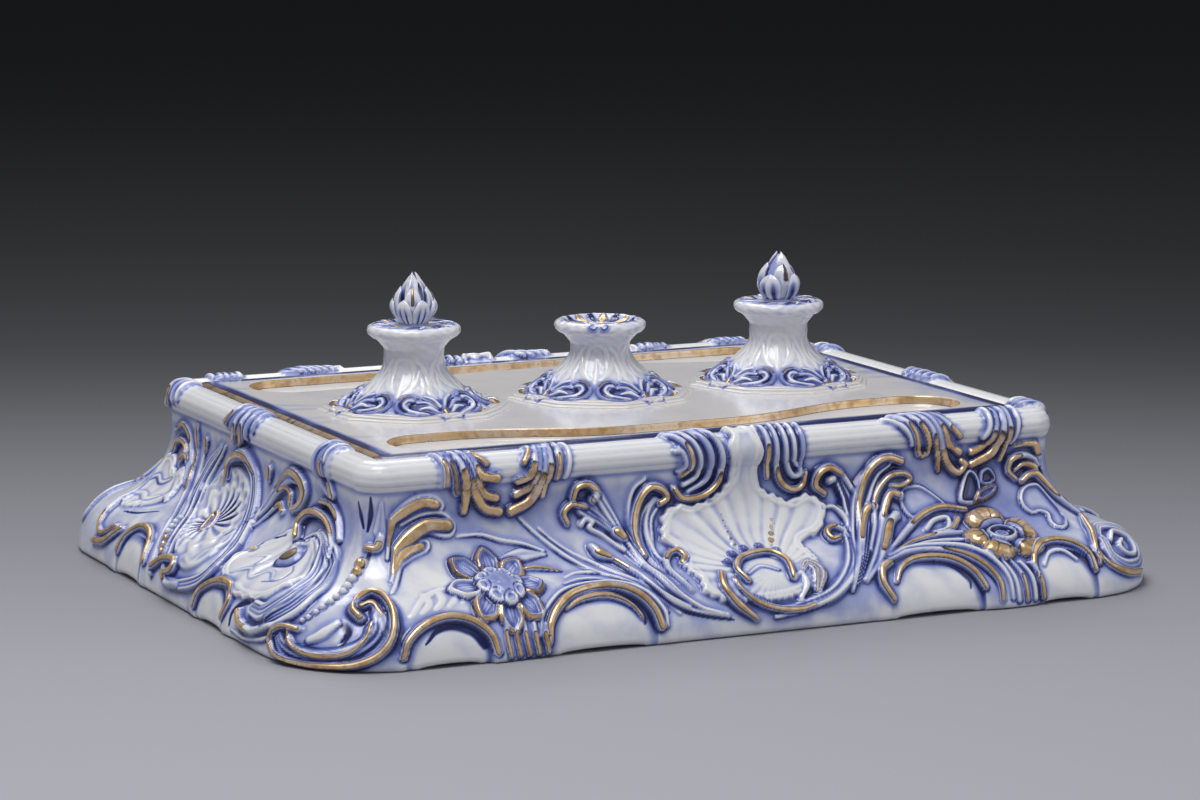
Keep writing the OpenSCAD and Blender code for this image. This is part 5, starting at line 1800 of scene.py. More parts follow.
@dataclass
class Deck:
    """Flat deck with its gilded bevel, its pen troughs and the collars of the pots. Sizes in mm."""

    half_l: float = 133.0
    half_w: float = 97.5
    top: float = 67.0
    thick: float = 5.0
    drop: float = 1.0
    pitch: float = 79.0
    well_r: float = 20.0
    trough_half: float = 120.0
    trough_mid: float = 20.0
    trough_end: float = 36.0
    trough_margin: float = 8.0
    trough_turn: float = 21.6
    trough_blend: float = 66.0
    lip: float = 0.8
    turns: tuple[float, float, float] = (-132.0, -121.0, -118.0)
    cell: float = 0.28
    cols: int = 384

    def rectangle(self, inset: float, z: float, step: float = 6.0) -> Array:
        """Ring of points round the deck, inset from its edge.

        Args:
            inset: Distance inside the edge.
            z: Height of the ring.
            step: Spacing of the points.

        Returns:
            The points.
        """
        hl, hw = self.half_l - inset, self.half_w - inset
        nx, ny = int(2 * self.half_l / step), int(2 * self.half_w / step)
        x, y = np.linspace(-hl, hl, nx, endpoint=False), np.linspace(-hw, hw, ny, endpoint=False)
        ring = [np.stack([x, np.full(nx, -hw)], 1), np.stack([np.full(ny, hl), y], 1)]
        ring += [np.stack([-x, np.full(nx, hw)], 1), np.stack([np.full(ny, -hl), -y], 1)]
        flat = np.concatenate(ring)
        return np.column_stack([flat, np.full(len(flat), z)])

    def trough_ring(self, inset: float, z: float, side: int) -> Array:
        """Ring of points of a trough's outline, inset, counter-clockwise.

        Args:
            inset: Distance inside the outline.
            z: Height of the ring.
            side: -1 for the front trough, 1 for the rear one.

        Returns:
            The points.
        """
        half, r = self.trough_half - inset, self.trough_end / 2 - inset
        base = -self.half_w + self.trough_margin + inset
        a = np.radians(np.linspace(0, 180, 91))
        x = -half * np.cos(a)
        t = np.clip((np.abs(x) - self.trough_turn) / self.trough_blend, 0, 1)
        wide = self.trough_mid - 2 * inset + (self.trough_end - self.trough_mid) * (1 - np.cos(math.pi * t)) / 2
        over = np.clip((np.abs(x) - half + r) / r, 0, 1)
        fall = np.sqrt(np.maximum(0, 1 - over**2))
        near = np.stack([x, base + wide / 2 * (1 - fall)], 1)
        far = np.stack([x, base + wide / 2 * (1 + fall)], 1)[::-1][1:-1]
        ring = np.concatenate([near, far])
        if side > 0:
            ring = -ring
        return np.column_stack([ring, np.full(len(ring), z)])

    def plate(self, clay: Clay) -> None:
        """Adds the plate with its holes, its blue edge line and its gilded bevel.

        Args:
            clay: Mesh that it is added to.
        """
        rows, gold, blue = [], [], []
        steps = (
            (0, self.thick, 0, 0, 0.1), (0, self.drop + 0.15, 0, 0, 0.3), (0.12, self.drop, 0.7, 0.9, 0.2),
            (0.9, 0.72, 0.72, 0.8, 0.3), (1.3, 0.6, 0.72, 0, 0.8), (2.2, 0.3, 0.76, 0, 1), (2.8, 0.05, 0.74, 0, 1.1),
            (3.1, 0, 0.2, 0, 1.15),
            (4.2, 0, 0, 0, 1.2), (6, 0, 0, 0, 1.1), (6.8, 0, 0, 0, 0.7), (7.6, 0, 0, 0, 0.4), (8.6, 0, 0, 0, 0.24),
        )
        for inset, down, g_side, g_front, b in steps:
            ring = self.rectangle(inset, self.top - down)
            rows.append(ring)
            front = smooth(-ring[:, 1], self.half_w - inset - 5, self.half_w - inset - 1)
            wobble = np.sin(ring[:, 0] * 0.11 + ring[:, 1] * 0.07) + np.sin(ring[:, 0] * 0.29 - ring[:, 1] * 0.19 + 1.0)
            gold.append(g_side + (g_front - g_side) * front)
            blue.append(b * (0.85 + 0.15 * front + 0.12 * wobble * (inset > 3.2)))
        points, faces = rings(rows, False)
        clay.add(points, faces, np.concatenate(gold), np.concatenate(blue))
        holes = [circle(self.well_r, 0, x) for x in (-self.pitch, 0, self.pitch)]
        troughs = [self.trough_ring(self.lip, 0, side) for side in (-1, 1)]
        clay.add(*filled([rows[-1]] + holes + troughs, self.top, True), 0.0, 0.03)
        clay.add(*filled([rows[0]] + holes + troughs, self.top - self.thick, False), 0.0, 0.1)
        for ring in holes + troughs:
            wall = [ring * (1, 1, 0) + (0, 0, self.top), ring * (1, 1, 0) + (0, 0, self.top - self.thick)]
            clay.add(*rings(wall, False), 0.0, 0.1)

    def collar(self, clay: Clay, x: float, turn: float) -> None:
        """Adds the stepped collar of one pot with its scoops and scrolled ears.

        Args:
            clay: Mesh that it is added to.
            x: Place of the axis in mm.
            turn: Angle of its first ear in degrees.
        """
        section = (
            (29.3, -0.4), (29.3, 1.6), (29.6, 2.3), (30.3, 2.55), (32.2, 2.5), (33, 2.2), (33.2, 1.75), (34.4, 1.6),
            (34.9, 1.2), (35, 0.8), (36.3, 0.65), (36.9, 0.3), (37, -0.4),
        )
        t = Turned(spline(np.array(section)[::-1], 5) + (0, self.top), x, self.cell, self.cols)
        rel = t.relief
        a = np.broadcast_to(t.a, rel.shape)
        r = np.hypot(rel.base[..., 0] - x, rel.base[..., 1])
        lobe = np.abs(np.cos(np.radians((a - turn) * 4))) ** 0.6
        grow = (0.8 - 1.9 * lobe) * np.clip((r - 31.5) / 4, 0, 1.2)
        radial = np.stack([np.cos(np.radians(a)), np.sin(np.radians(a)), np.zeros_like(a)], -1)
        rel.base += radial * grow[..., None]
        rel.flat = rel.base.reshape(-1, 3)
        rel.blue[:] = 0.04
        top_run = t.run[-1] - 3.6
        angle = (a - turn).ravel()
        for k in range(8):
            off = (angle - 22.5 - 45 * k + 180) % 360 - 180
            q = (off / 14.5) ** 2 + ((t.up - top_run) / 3.3) ** 2
            scoop = smooth(q, 1.0, 0.15)
            rel.height -= 1.6 * scoop
            rel.gold = np.maximum(rel.gold, smooth(q, 1.0, 0.6) * 0.78)
            rel.blue = np.maximum(rel.blue, 0.45 * swell(q - 1.15, 0.25))
        ears = [
            roll((0.3, 0.6, 0.5), 0.7, 8.5, 6.4, 6, 4.6, 3.4, 5, edge=0.35),
            line((0.3, 0.7, 0.3), 0.3, 8.5, 5, 6.4, 3.6, 7.2, 2),
        ]
        t.mirrored(ears, tuple(turn + 45 + 90 * k for k in range(4)))
        rel.soft = 0.35
        rel.settle((self.cell, 0.6))
        rows, gold, blue = t.skin()
        points, faces = rings(rows, True)
        clay.add(points, faces, gold.ravel(), blue.ravel())

    def trough(self, side: int) -> Clay:
        """Models one pen trough with its gilded wall and soft floor.

        Args:
            side: -1 for the front trough, 1 for the rear one.

        Returns:
            Its parts, not yet fired.
        """
        clay = Clay()
        floor = self.top - 5.5
        steps = (
            (0, floor - 3.0, 0), (0, self.top - self.thick - 0.05, 0), (self.lip, self.top - self.thick - 0.05, 0),
            (self.lip, self.top, 0), (1.2, self.top - 0.03, 0.2), (1.5, self.top - 0.18, 0.9), (1.7, self.top - 0.5, 1),
            (1.85, self.top - 1.4, 1), (2, self.top - 2.4, 1), (2.2, self.top - 2.9, 0.9), (2.5, self.top - 3.5, 0.1),
            (3.1, self.top - 4.2, 0), (4, self.top - 4.8, 0), (5.4, self.top - 5.25, 0), (7.2, floor, 0),
        )
        rows = [self.trough_ring(inset, z, side) for inset, z, _ in steps]
        gold = np.concatenate([np.full(len(rows[0]), g) for _, _, g in steps])
        points, faces = rings(rows, False)
        clay.add(points, faces, gold, 0.05)
        clay.add(*filled([rows[-1]], floor, True), 0.0, 0.04)
        clay.add(*filled([rows[0]], floor - 3.0, False), 0.0, 0.05)
        return clay

    def build(self, finish: "Porcelain") -> None:
        """Builds the deck and the troughs.

        Args:
            finish: Finish of what is built.
        """
        clay = Clay()
        self.plate(clay)
        for x, turn in zip((-self.pitch, 0.0, self.pitch), self.turns):
            self.collar(clay, x, turn)
        fit(clay.fire("deck_and_collars", finish, 40), "stand", "white_glazed_porcelain", "deck")
        for side, name in ((-1, "front_pen_trough"), (1, "rear_pen_trough")):
            fit(self.trough(side).fire("glazed_" + name, finish, 60), "stand", "white_glazed_porcelain", name)


@dataclass
class Pot:
    """One pot: its well, its lift-out cup and its bell cover. Sizes in mm.

    Attributes:
        name: Short name of the pot.
        x: Place of its axis.
        turn: Angle of a white gap between two scrolls of the cover.
        sander: True for the pounce pot, whose cover ends in a pierced dish.
    """

    name: str
    x: float
    turn: float
    sander: bool = False
    deck: float = 67.0
    edge_r: float = 28.8
    neck_r: float = 11.6
    lip: float = 1.5
    flare: float = 18.0
    power: float = 1.55
    wall: float = 2.6
    disc_cone: float = 4.0
    disc_t: float = 4.4
    cell: float = 0.28
    cols: int = 384

    @property
    def neck_top(self) -> float:
        """Height of the neck's top over the deck."""
        return 21.4 if self.sander else 24.3

    @property
    def top(self) -> float:
        """Height of the disc's middle, or of the dish's floor, over the table."""
        return self.deck + self.neck_top + self.disc_cone + self.disc_t - (2.4 if self.sander else 0.3)

    def flare_r(self, h: Array) -> Array:
        """Radius of the bell at a height over the deck."""
        t = np.clip((h - self.lip) / (self.flare - self.lip), 0, 1)
        return self.neck_r + (self.edge_r - self.neck_r) * (1 - t) ** self.power

    def outer_section(self) -> Array:
        """Outer section of the cover, from its edge to the middle of its top.

        Returns:
            Radius and height of its points.
        """
        h = np.linspace(self.lip, self.flare, 40)
        body = np.stack([self.flare_r(h), h], 1)
        base, top = self.neck_top + self.disc_cone, self.neck_top + self.disc_cone + self.disc_t
        disc = [(self.neck_r, self.neck_top - 0.8), (self.neck_r + 0.5, self.neck_top), (14.6, base - 1.2),
            (16.6, base - 0.1)]
        disc += [(17.8, base + 1.3), (18, base + 2.4), (17.5, top - 0.9), (16.3, top - 0.2)]
        if self.sander:
            disc += [(15, top), (13.9, top - 0.5), (12.9, top - 1.6), (11.2, top - 2.2), (8, top - 2.4), (4, top - 2.4),
                (0.3, top - 2.4)]
        else:
            disc += [(14, top - 0.1), (10, top - 0.3), (5.5, top - 0.3), (0.3, top - 0.3)]
        edge = np.array([(self.edge_r - 0.5, 0), (self.edge_r - 0.1, 0.25), (self.edge_r, 0.7)])
        return np.concatenate([edge, body, spline(np.array(disc), 6)]) + (0, self.deck)

    def bell(self, t: Turned) -> None:
        """Models the scrolled leaves on the bell and the low leaves on the neck.

        Args:
            t: The turned surface.
        """
        axes = tuple(self.turn + 90 * k for k in range(4))
        s, angle = t.up, t.angle
        off = np.abs((angle - self.turn + 45) % 90 - 45)
        tint = smooth(off, 2.5, 6) * smooth(s, 12.6, 9.0)
        t.relief.blue += 0.4 * tint - 0.05 * (1 - tint)
        t.relief.full, t.relief.soft = 1.0, 0.38
        wave = np.sin(np.radians(angle) * 11 + s * 0.8) * np.sin(s * 0.9 + np.radians(angle) * 3)
        t.relief.height += 0.04 * wave * smooth(s, 1.0, 3.0)
        low = [Stroke(Form.ROLL, (0.3, 0.8, 0.8, 0.3), 0.26, points, edge=0.0) for points in (
            ((0, 12), (0, 17), (0, 22)), ((2, 29), (16, 27), (19, 21), (11, 16)), ((24, 28), (34, 26), (41, 21),
                (39, 15)),
            ((6, 14), (20, 18), (30, 24)), ((28, 13), (33, 17), (31, 22)), ((42, 11), (38, 15), (45, 20)),
        )]
        t.mirrored(low, axes)
        scrolls = [
            band((0.9, 1.9, 2.3, 2, 0.9), 1.3, 25, 10, 15, 10.4, 8.5, 7.2, 13, 3.6, 28, 2, crest=WASH, edge=0.9),
            roll((0.5, 0.7, 0.7, 0.6, 0.4), 1.7, 22, 11.2, 17, 12.2, 9, 11.6, 4.6, 9.4, 4.2, 6.6, 8, 3.2, 16, 1.5, 27,
                1.1, crest=DULL, gilt=(0.05, 0.36)),
            roll((0.6, 0.6, 0.6, 0.4), 1.6, 18, 9.4, 13, 9.4, 10, 7.2, 13, 4.6, 21, 2.9, 30, 2.2, crest=WASH),
            line((0.3, 0.7, 0.8, 0.3), 0.5, 10, 10.4, 6.6, 8.2, 6.8, 5.6, 12, 2.8),
            line((0.3, 0.6, 0.6, 0.3), 0.4, 24, 7.6, 18, 7.4, 16, 6, 20, 4.2),
            leaf((0.4, 1.1, 0.5), 1.3, 22, 8.6, 31, 8.6, 40, 5.2, crest=BLUE),
            leaf((0.4, 1.1, 0.4), 1.2, 24, 5.6, 32, 5.8, 40, 3, crest=WASH),
            line((0.3, 0.6, 0.3), 0.4, 27, 10.6, 36, 8.4, 43, 4.6),
            roll((0.3, 0.7, 0.3), 1, 29, 12.4, 38, 10.4, 43.5, 6.4, crest=WASH, edge=0.9),
        ]
        t.mirrored(scrolls, axes)
        for axis in axes:
            t.relief.lay(leaf((0.7, 1.6, 0.5), 1.7, axis + 45, 0.9, axis + 45, 3.4, axis + 45, 6.4, crest=DULL,
                gilt=(0, 0.62)))

    def disc(self, t: Turned) -> None:
        """Models and paints the disc, and the dish of the pounce pot.

        Args:
            t: The turned surface.
        """
        angle = np.radians(t.angle)
        rel = t.relief
        r, z = t.at(t.up)
        side = smooth(z, self.deck + self.neck_top + 2.5, self.deck + self.neck_top + 4) * smooth(r, 14.5, 15.5)
        rel.height += side * (0.12 * np.sin(angle * 16 + 1.5 * np.sin(z * 1.3)) * np.sin(
            z * 1.5 + 2 * np.sin(angle * 5)))
        end = t.run[-1]
        if self.sander:
            for k in range(8):
                a = self.turn + 45 * k
                rel.lay(gold_leaf((0.9, 2.3, 0.7), 0.8, a, end - 14.4, a, end - 10.6, a, end - 7.4))
                rel.lay(leaf((1, 2.2, 0.7), 0.6, a + 22.5, end - 14.8, a + 22.5, end - 11.5, a + 22.5, end - 7.6,
                    crest=NAVY))
                rel.lay(gold_roll((0.4, 0.7), 0.5, a + 22.5, end - 3.6, a + 22.5, end - 1.2, edge=0.7))
            rel.bead((0, end - 0.1), 1.6, 0.5, GOLD, 0.9)
            # The holes are dents; the navy laid in them is painted shade for the dark inside of a through hole.
            for k in range(8):
                a = math.radians(self.turn + 45 * k)
                d = np.hypot(rel.flat[:, 0] - (self.x + 5.4 * math.cos(a)), rel.flat[:, 1] - 5.4 * math.sin(a))
                on = (z > self.deck + self.neck_top + self.disc_cone) & (d < 2.2)
                rel.height[on] -= 3.0 * smooth(d[on], 1.1, 0.75)
                rel.gold[on] *= smooth(d[on], 0.9, 1.2)
                rel.ink(on, smooth(d[on], 1.6, 1.0))
            curls = [roll((0.3, 0.8, 0.4), 0.5, 2, end - 18.2, 6, end - 19.4, 11, end - 18.4, 9, end - 17, crest=NAVY,
                edge=0.7)]
            t.mirrored(curls, (-117.0, 63.0))
        else:
            for k in range(8):
                a = self.turn + 20 + 45 * k
                rel.lay(leaf((0.9, 1.9, 0.8), 0.9, a - 9, end - 14.3, a, end - 12, a + 10, end - 9.4, crest=NAVY))
                rel.lay(roll((0.5, 1, 0.5), 0.9, a + 9, end - 14.8, a + 16, end - 12.6, a + 20, end - 10,
                    crest=GOLD if k % 2 else WHITE))

    def cover(self, finish: "Porcelain") -> bpy.types.Object:
        """Builds the hollow bell cover.

        Args:
            finish: Finish of what is built.

        Returns:
            The cover.
        """
        t = Turned(self.outer_section(), self.x, self.cell, self.cols)
        self.bell(t)
        self.disc(t)
        t.relief.settle((self.cell, 0.4))
        rows, gold, blue = t.skin()
        h = np.linspace(0, self.flare - self.wall, 10)
        inner_r = self.flare_r(h + self.wall) - self.wall * (1 + h / h[-1]) / 2
        inside = [circle(r, self.deck + z, self.x, t.cols) for r, z in zip(inner_r, h)]
        ceiling = self.top - self.wall if self.sander else self.deck + self.neck_top
        bore = self.neck_r - self.wall
        inside += [circle(r, ceiling - down, self.x, t.cols) for r, down in ((bore, 1), (bore - 1, 0), (0, 0))]
        stack = inside[::-1] + rows[:-1] + [circle(0, self.top + (0.4 if self.sander else 0), self.x)]
        points, faces = rings(stack, False)
        pad = np.zeros(sum(len(r) for r in inside))
        clay = Clay()
        clay.add(points, faces, np.concatenate([pad, gold[:-1].ravel(), gold[-1, :1]]),
            np.concatenate([pad + 0.05, blue[:-1].ravel(), blue[-1, :1]]))
        return clay.fire(f"scrolled_{self.name}_cover", finish)

    def cup(self, finish: "Porcelain") -> bpy.types.Object:
        """Builds the lift-out cup with its flange and the stain inside it.

        Args:
            finish: Finish of what is built.

        Returns:
            The cup.
        """
        section = (
            (0, 23), (16.5, 23), (18.4, 23.4), (19, 24.4), (19, 45), (19, 66.4), (19.3, 66.95), (21.3, 67),
            (21.8, 67.3),
            (22, 68), (21.8, 68.7), (21.2, 69), (18, 69), (16.7, 68.9), (16.1, 68.3), (16, 67.4), (16, 48), (16, 36),
            (16, 28), (15.2, 26.5), (13.5, 26), (0, 26),
        )
        rows = [circle(r, z, self.x) for r, z in section]
        stain = [0.06] * 17 + ([0.35, 1.0, 1.1, 1.1, 1.1] if not self.sander else [0.08] * 5)
        blue = np.concatenate([np.full(len(row), b) for row, b in zip(rows, stain)])
        clay = Clay()
        clay.add(*rings(rows, False), 0.0, blue)
        return clay.fire(f"glazed_{self.name}_cup", finish, 50)

    def well(self, finish: "Porcelain") -> bpy.types.Object:
        """Builds the well under the deck.

        Args:
            finish: Finish of what is built.

        Returns:
            The well.
        """
        section = ((0, 18.5), (22.3, 18.5), (23.5, 19.7), (23.5, 61.95), (20, 61.95), (20, 23.2), (18.8, 22), (0, 22))
        clay = Clay()
        clay.add(*rings([circle(r, z, self.x) for r, z in section], False), 0.0, 0.06)
        return clay.fire(f"glazed_{self.name}_well", finish, 30)


@dataclass(frozen=True)
class Leaf:
    """Kind of leaf of a finial, in mm and degrees.

    Attributes:
        count: Number of leaves in the tier.
        turn: Angle of the first.
        spine: Radius and height of points along the middle of a leaf.
        half: Greatest half width.
        widest: Share of its length where it is widest.
        curl: How far its edges lie behind its middle.
        gilded: Share of gold on the upper middle.
        lines: Strength of the cobalt lines towards the foot.
        flutes: How closely the fine ribs lie.
    """

    count: int
    turn: float
    spine: Points
    half: float
    widest: float = 0.45
    curl: float = 1.2
    gilded: float = 0.0
    lines: float = 0.9
    flutes: float = 14.0


@dataclass
class Finial:
    """Bud of overlapping leaves on top of a cover. Sizes in mm."""

    name: str
    x: float
    base: float
    leaves: tuple[Leaf, ...]
    core: Points

    def blade(self, leaf: Leaf, angle: float, rng: np.random.Generator) -> tuple[Array, list, Array, Array]:
        """Models one thick leaf.

        Args:
            leaf: Its kind.
            angle: Its direction in degrees.
            rng: Source of the slight unevenness.

        Returns:
            Points, faces, gold and cobalt.
        """
        spine = spline(np.array(leaf.spine), 8)
        t = np.linspace(0, 1, len(spine))
        rise = np.where(t < leaf.widest, t / leaf.widest, 1)
        fall = np.clip((1 - t) / (1 - leaf.widest), 0, 1)
        wide = leaf.half * (0.55 + 0.45 * np.sin(rise * math.pi / 2)) * np.minimum(1, fall**0.5 * 1.02) + 0.06
        x = np.linspace(-1, 1, 21)
        sway = rng.uniform(-0.5, 0.5)
        grid, back, gold, blue = [], [], [], []
        for k, (r, h) in enumerate(spine):
            across = wide[k] * x
            notch = 0.16 * np.cos(x * 9.5) * np.minimum(1, fall[k] * 3)
            depth = leaf.curl * x**2 * (wide[k] / leaf.half) + 0.55 * swell(x, 0.13) * fall[k]
            front = r - depth + 4 / leaf.flutes * np.cos(x * leaf.flutes) * fall[k] * rise[k]
            turn = math.radians(angle) + (across * (1 + notch)) / max(r, 3.0) + sway * 0.06 * t[k]
            edge = h - 0.7 * np.abs(x) * (1 - fall[k])
            grid.append(np.stack([self.x + front * np.cos(turn), front * np.sin(turn), self.base + edge], 1))
            inner = front - (0.25 + 1.1 * (1 - x**2) * np.minimum(1, fall[k] * 2 + 0.1))
            back.append(np.stack([self.x + inner * np.cos(turn), inner * np.sin(turn), self.base + edge], 1))
            streak = smooth(-np.cos(x * leaf.flutes + 0.4), 0.0, 0.9)
            blue.append(0.14 + leaf.lines * streak * smooth(np.array(t[k]), 0.75, 0.2) + 0.5 * swell(np.abs(x) - 1,
                0.12))
            gold.append(leaf.gilded * smooth(np.abs(x), 0.65, 0.3) * float(smooth(np.array(t[k]), 0.4, 0.55)) * (
                0.6 + 0.4 * np.cos(x * leaf.flutes)))
        front, rear = np.array(grid), np.array(back)
        loop = np.concatenate([front, rear[:, ::-1]], 1)
        rows, cols = loop.shape[:2]
        faces = quads(rows, cols, True).tolist()
        faces.append(list(range(cols))[::-1])
        faces.append([(rows - 1) * cols + c for c in range(cols)])
        paint = [np.concatenate([a, np.flip(b, 1)], 1).ravel() for a, b in ((np.array(gold), np.array(gold) * 0),
            (np.array(blue), np.array(blue) * 0 + 0.4))]
        return loop.reshape(-1, 3), faces, paint[0], paint[1]

    def build(self, finish: "Porcelain") -> bpy.types.Object:
        """Builds the whole bud.

        Args:
            finish: Finish of what is built.

        Returns:
            The bud.
        """
        clay = Clay()
        rng = np.random.default_rng(SEED + len(self.name))
        core = spline(np.array(self.core), 5)
        rows = [circle(0, self.base, self.x)] + [circle(max(r, 0.05), self.base + z, self.x, 48) for r,
            z in core] + [circle(0, self.base + core[-1, 1] + 0.02, self.x)]
        clay.add(*rings(rows, False), 0.0, 0.35)
        for leaf in self.leaves:
            for k in range(leaf.count):
                clay.add(*self.blade(leaf, leaf.turn + 360 / leaf.count * k, rng))
        return clay.fire(self.name, finish, 70)


def spread_bud(x: float, base: float) -> Finial:
    """Left finial, an open bud of pointed leaves round a tall one.

    Args:
        x: Place of the axis in mm.
        base: Height of its foot in mm.

    Returns:
        The finial.
    """
    tiers = (
        Leaf(7, -141, ((5, 0.2), (7.6, 3), (9.2, 6.2), (9.2, 8.6), (8.2, 10.6)), 4.9, 0.4, 1.4, 0.25, 1.0, 12.0),
        Leaf(5, -115, ((4.6, 0.4), (7.4, 4), (8.5, 8), (7.6, 12), (5.2, 15.2)), 5.4, 0.4, 1.3, 0.75, 1.0, 9.0),
        Leaf(3, -140, ((3.8, 4), (5.4, 9), (5, 14), (2.6, 18), (0.8, 20.4)), 5.4, 0.4, 1.1, 0.5, 0.9, 8.0),
    )
    return Finial("left_bud", x, base, tiers, ((5.9, -0.4), (5.7, 0.6), (5, 1.6), (5.4, 5), (4.4, 10), (2.4, 15),
        (0.5, 18.5)))


def closed_bud(x: float, base: float) -> Finial:
    """Right finial, a compact bud of folded leaves.

    Args:
        x: Place of the axis in mm.
        base: Height of its foot in mm.

    Returns:
        The finial.
    """
    tiers = (
        Leaf(4, -146, ((5.2, 0.2), (7.9, 3), (9.1, 6.4), (8.5, 9.2), (6.9, 11.4)), 6.6, 0.5, 1.7, 0.0, 1.0, 8.0),
        Leaf(3, -96, ((4.8, 0.6), (7.4, 4.6), (8.3, 8.4), (7, 12.4), (4.4, 15.4)), 7.6, 0.5, 2.0, 0.6, 0.8, 6.0),
        Leaf(2, -70, ((3.8, 3), (5.6, 8), (5.5, 13), (3.4, 17), (1.1, 19.8)), 6.0, 0.45, 1.6, 0.2, 1.0, 6.0),
    )
    return Finial("right_bud", x, base, tiers, ((6.1, -0.4), (6, 0.6), (5.2, 1.6), (6, 5), (5.2, 10), (2.8, 15),
        (0.5, 18.5)))


def build_pots(finish: "Porcelain", deck: Deck) -> None:
    """Builds the three pots and the two finials.

    Args:
        finish: Finish of what is built.
        deck: Deck that they stand on.
    """
    pots = (
        (Pot("left_ink", -deck.pitch, deck.turns[0]), "left_ink_cup", "left_ink_cover", "left_well"),
        (Pot("sand", 0.0, deck.turns[1], True), "sand_cup", "sander_cover", "middle_well"),
        (Pot("right_ink", deck.pitch, deck.turns[2]), "right_ink_cup", "right_ink_cover", "right_well"),
    )
    for pot, cup, cover, well in pots:
        fit(pot.cup(finish), cup, "white_glazed_porcelain", cup)
        fit(pot.cover(finish), cover, "blue_washed_porcelain", cover)
        fit(pot.well(finish), "stand", "white_glazed_porcelain", well)
    left, right = pots[0][0], pots[2][0]
    fit(spread_bud(left.x, left.top).build(finish), "left_ink_cover", "blue_washed_porcelain", "left_finial")
    fit(closed_bud(right.x, right.top).build(finish), "right_ink_cover", "blue_washed_porcelain", "right_finial")


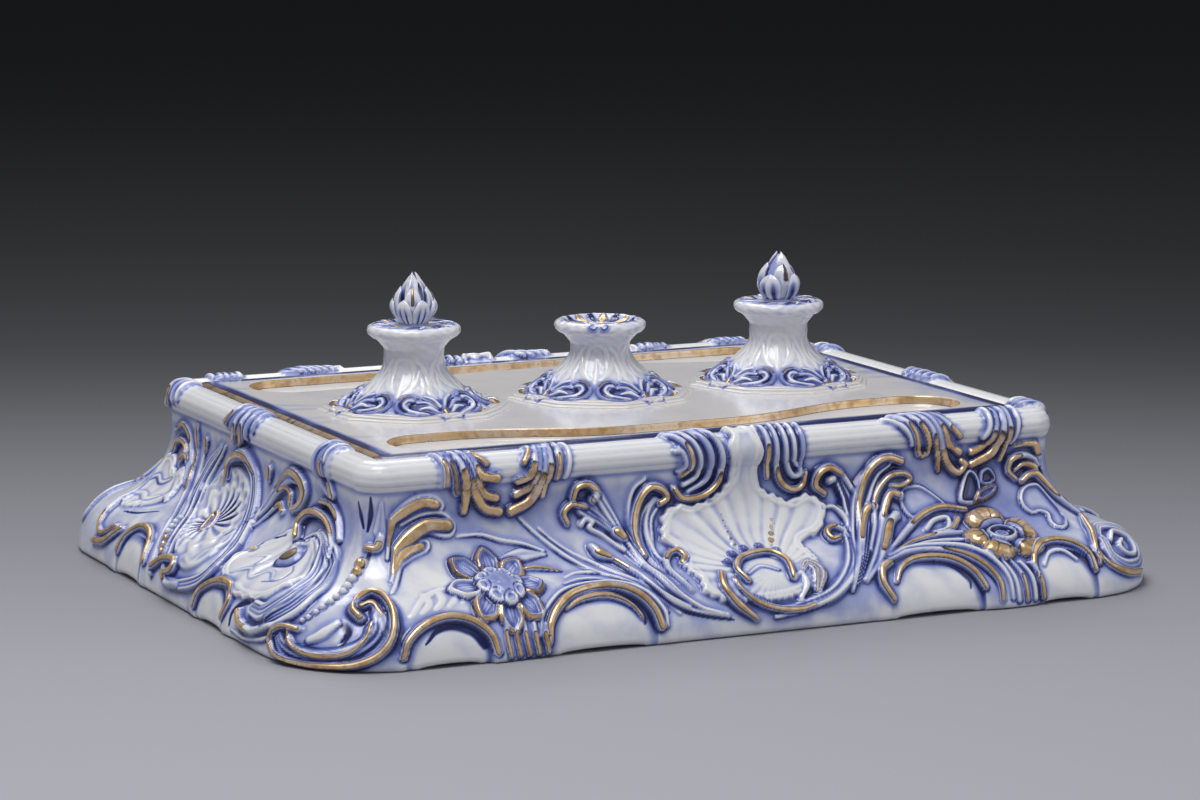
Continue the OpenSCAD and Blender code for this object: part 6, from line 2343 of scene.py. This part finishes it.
@dataclass
class Studio:
    """Camera, floor, backdrop and soft lights. Lengths in mm, angles in degrees."""

    azimuth: float = -25.4556
    elevation: float = 9.326
    distance: float = 1570.9
    target: float = 64.5
    lens: float = 120.0
    near: float = -0.5
    far: float = 3.5
    # Floor tone by depth: painted light falloff, pale near the object and dark far behind.
    painted_falloff_tones: Points = ((-0.5, 0.36), (3.5, 0.004), (-0.22, 0.33), (0, 0.245), (0.2, 0.165), (0.4, 0.075), (0.6, 0.036),
        (1, 0.018), (2, 0.012))
    sky: float = 0.48
    floor_half: float = 12000.0
    lamps: tuple[tuple, ...] = (
        ("key", (-480, -330, 1550), 900, 19.5, (1, 0.98, 0.96)),
        ("fill", (1200, -1100, 800), 1200, 4.2, (0.95, 0.97, 1)),
        ("rear", (200, 1100, 1350), 900, 8.5, (0.97, 0.98, 1)),
    )

    def camera(self) -> None:
        """Sets the camera at the photograph's view."""
        cam = bpy.data.objects.new("view", bpy.data.cameras.new("view"))
        bpy.context.scene.collection.objects.link(cam)
        cam.data.lens, cam.data.sensor_width = self.lens, 36.0
        cam.data.clip_start, cam.data.clip_end = 0.05, 30.0
        a, e = math.radians(self.azimuth), math.radians(self.elevation)
        back = Vector((math.sin(a) * math.cos(e), -math.cos(a) * math.cos(e), math.sin(e)))
        cam.location = Vector((0, 0, self.target * MM)) + back * self.distance * MM
        cam.rotation_euler = (-back).to_track_quat("-Z", "Y").to_euler()
        bpy.context.scene.camera = cam

    def paper(self) -> bpy.types.Material:
        """Makes the floor's matt paper, pale round the object and dark far behind it, a painted light falloff.

        Returns:
            The material.
        """
        mat = bpy.data.materials.new("floor_paper")
        mat.use_nodes = True
        shader = mat.node_tree.nodes["Principled BSDF"]
        w = NodeWriter(mat.node_tree)
        split = w.node("ShaderNodeSeparateXYZ")
        w.put(split, 0, w.node("ShaderNodeTexCoord").outputs["Object"])
        a = math.radians(self.azimuth)
        depth = w.math("ADD", w.math("MULTIPLY", split.outputs["X"], -math.sin(a)),
            w.math("MULTIPLY", split.outputs["Y"], math.cos(a)))
        ramp = w.node("ShaderNodeValToRGB")
        ramp.color_ramp.interpolation = "B_SPLINE"
        w.put(ramp, 0, w.step(depth, self.near, self.far, way="LINEAR"))
        stops = ramp.color_ramp.elements
        for k, (at, tone) in enumerate(self.painted_falloff_tones):
            stop = stops[k] if k < 2 else stops.new((at - self.near) / (self.far - self.near))
            stop.position = (at - self.near) / (self.far - self.near)
            stop.color = (tone, tone * 1.015, tone * 1.12, 1)
        w.put(shader, "Base Color", ramp.outputs[0])
        shader.inputs["Roughness"].default_value = 0.7
        shader.inputs["Specular IOR Level"].default_value = 0.2
        return mat

    def floor(self) -> None:
        """Lays the pale floor."""
        size = self.floor_half
        pts = np.array([(-size, -size, 0), (size, -size, 0), (size, size, 0), (-size, size, 0)], float)
        obj = mesh_object("floor", pts, [[0, 1, 2, 3]])
        obj.data.materials.append(self.paper())

    def backdrop(self) -> None:
        """Colours the world, dark behind the object for the camera and for gloss."""
        world = bpy.data.worlds.new("studio")
        bpy.context.scene.world = world
        world.use_nodes = True
        w = NodeWriter(world.node_tree)
        back = world.node_tree.nodes["Background"]
        path = w.node("ShaderNodeLightPath")
        seen = w.math("MAXIMUM", path.outputs["Is Camera Ray"], w.math("MULTIPLY", path.outputs["Is Glossy Ray"], 0.75))
        w.put(back, "Color", w.mix(seen, (0.62, 0.64, 0.69, 1), (0.03, 0.03, 0.032, 1)))
        back.inputs["Strength"].default_value = self.sky

    def lamp(
        self, name: str, at: tuple[float, float, float], size: float, power: float, colour: tuple[float, float, float]
    ) -> None:
        """Hangs one soft square lamp that faces the object.

        Args:
            name: Name of the lamp.
            at: Its place in mm.
            size: Side of the square in mm.
            power: Power in watts.
            colour: Colour of its light.
        """
        data = bpy.data.lights.new(name, "AREA")
        data.size, data.energy, data.color = size * MM, power, colour
        obj = bpy.data.objects.new(name, data)
        obj.location = Vector(at) * MM
        obj.rotation_euler = (Vector((0, 0, 50)) * MM - obj.location).to_track_quat("-Z", "Y").to_euler()
        bpy.context.scene.collection.objects.link(obj)

    def build(self) -> None:
        """Sets up the whole studio."""
        bpy.context.scene.view_settings.view_transform = "Standard"
        self.camera()
        self.floor()
        self.backdrop()
        for row in self.lamps:
            self.lamp(*row)


def main() -> None:
    """Builds the inkstand and its studio in order."""
    logging.basicConfig(level=logging.INFO, format="%(name)s: %(message)s")
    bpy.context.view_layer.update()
    porcelain = Porcelain()
    Studio().build()
    Skirt().build(porcelain)
    deck = Deck()
    # The deck's body is warmer and darker than the rest: a warm tint with painted shade.
    deck.build(Porcelain("warm_painted_shade_porcelain", (0.66, 0.64, 0.625)))
    build_pots(porcelain, deck)
    LOG.info("sizes written")


if __name__ == "__main__":
    main()
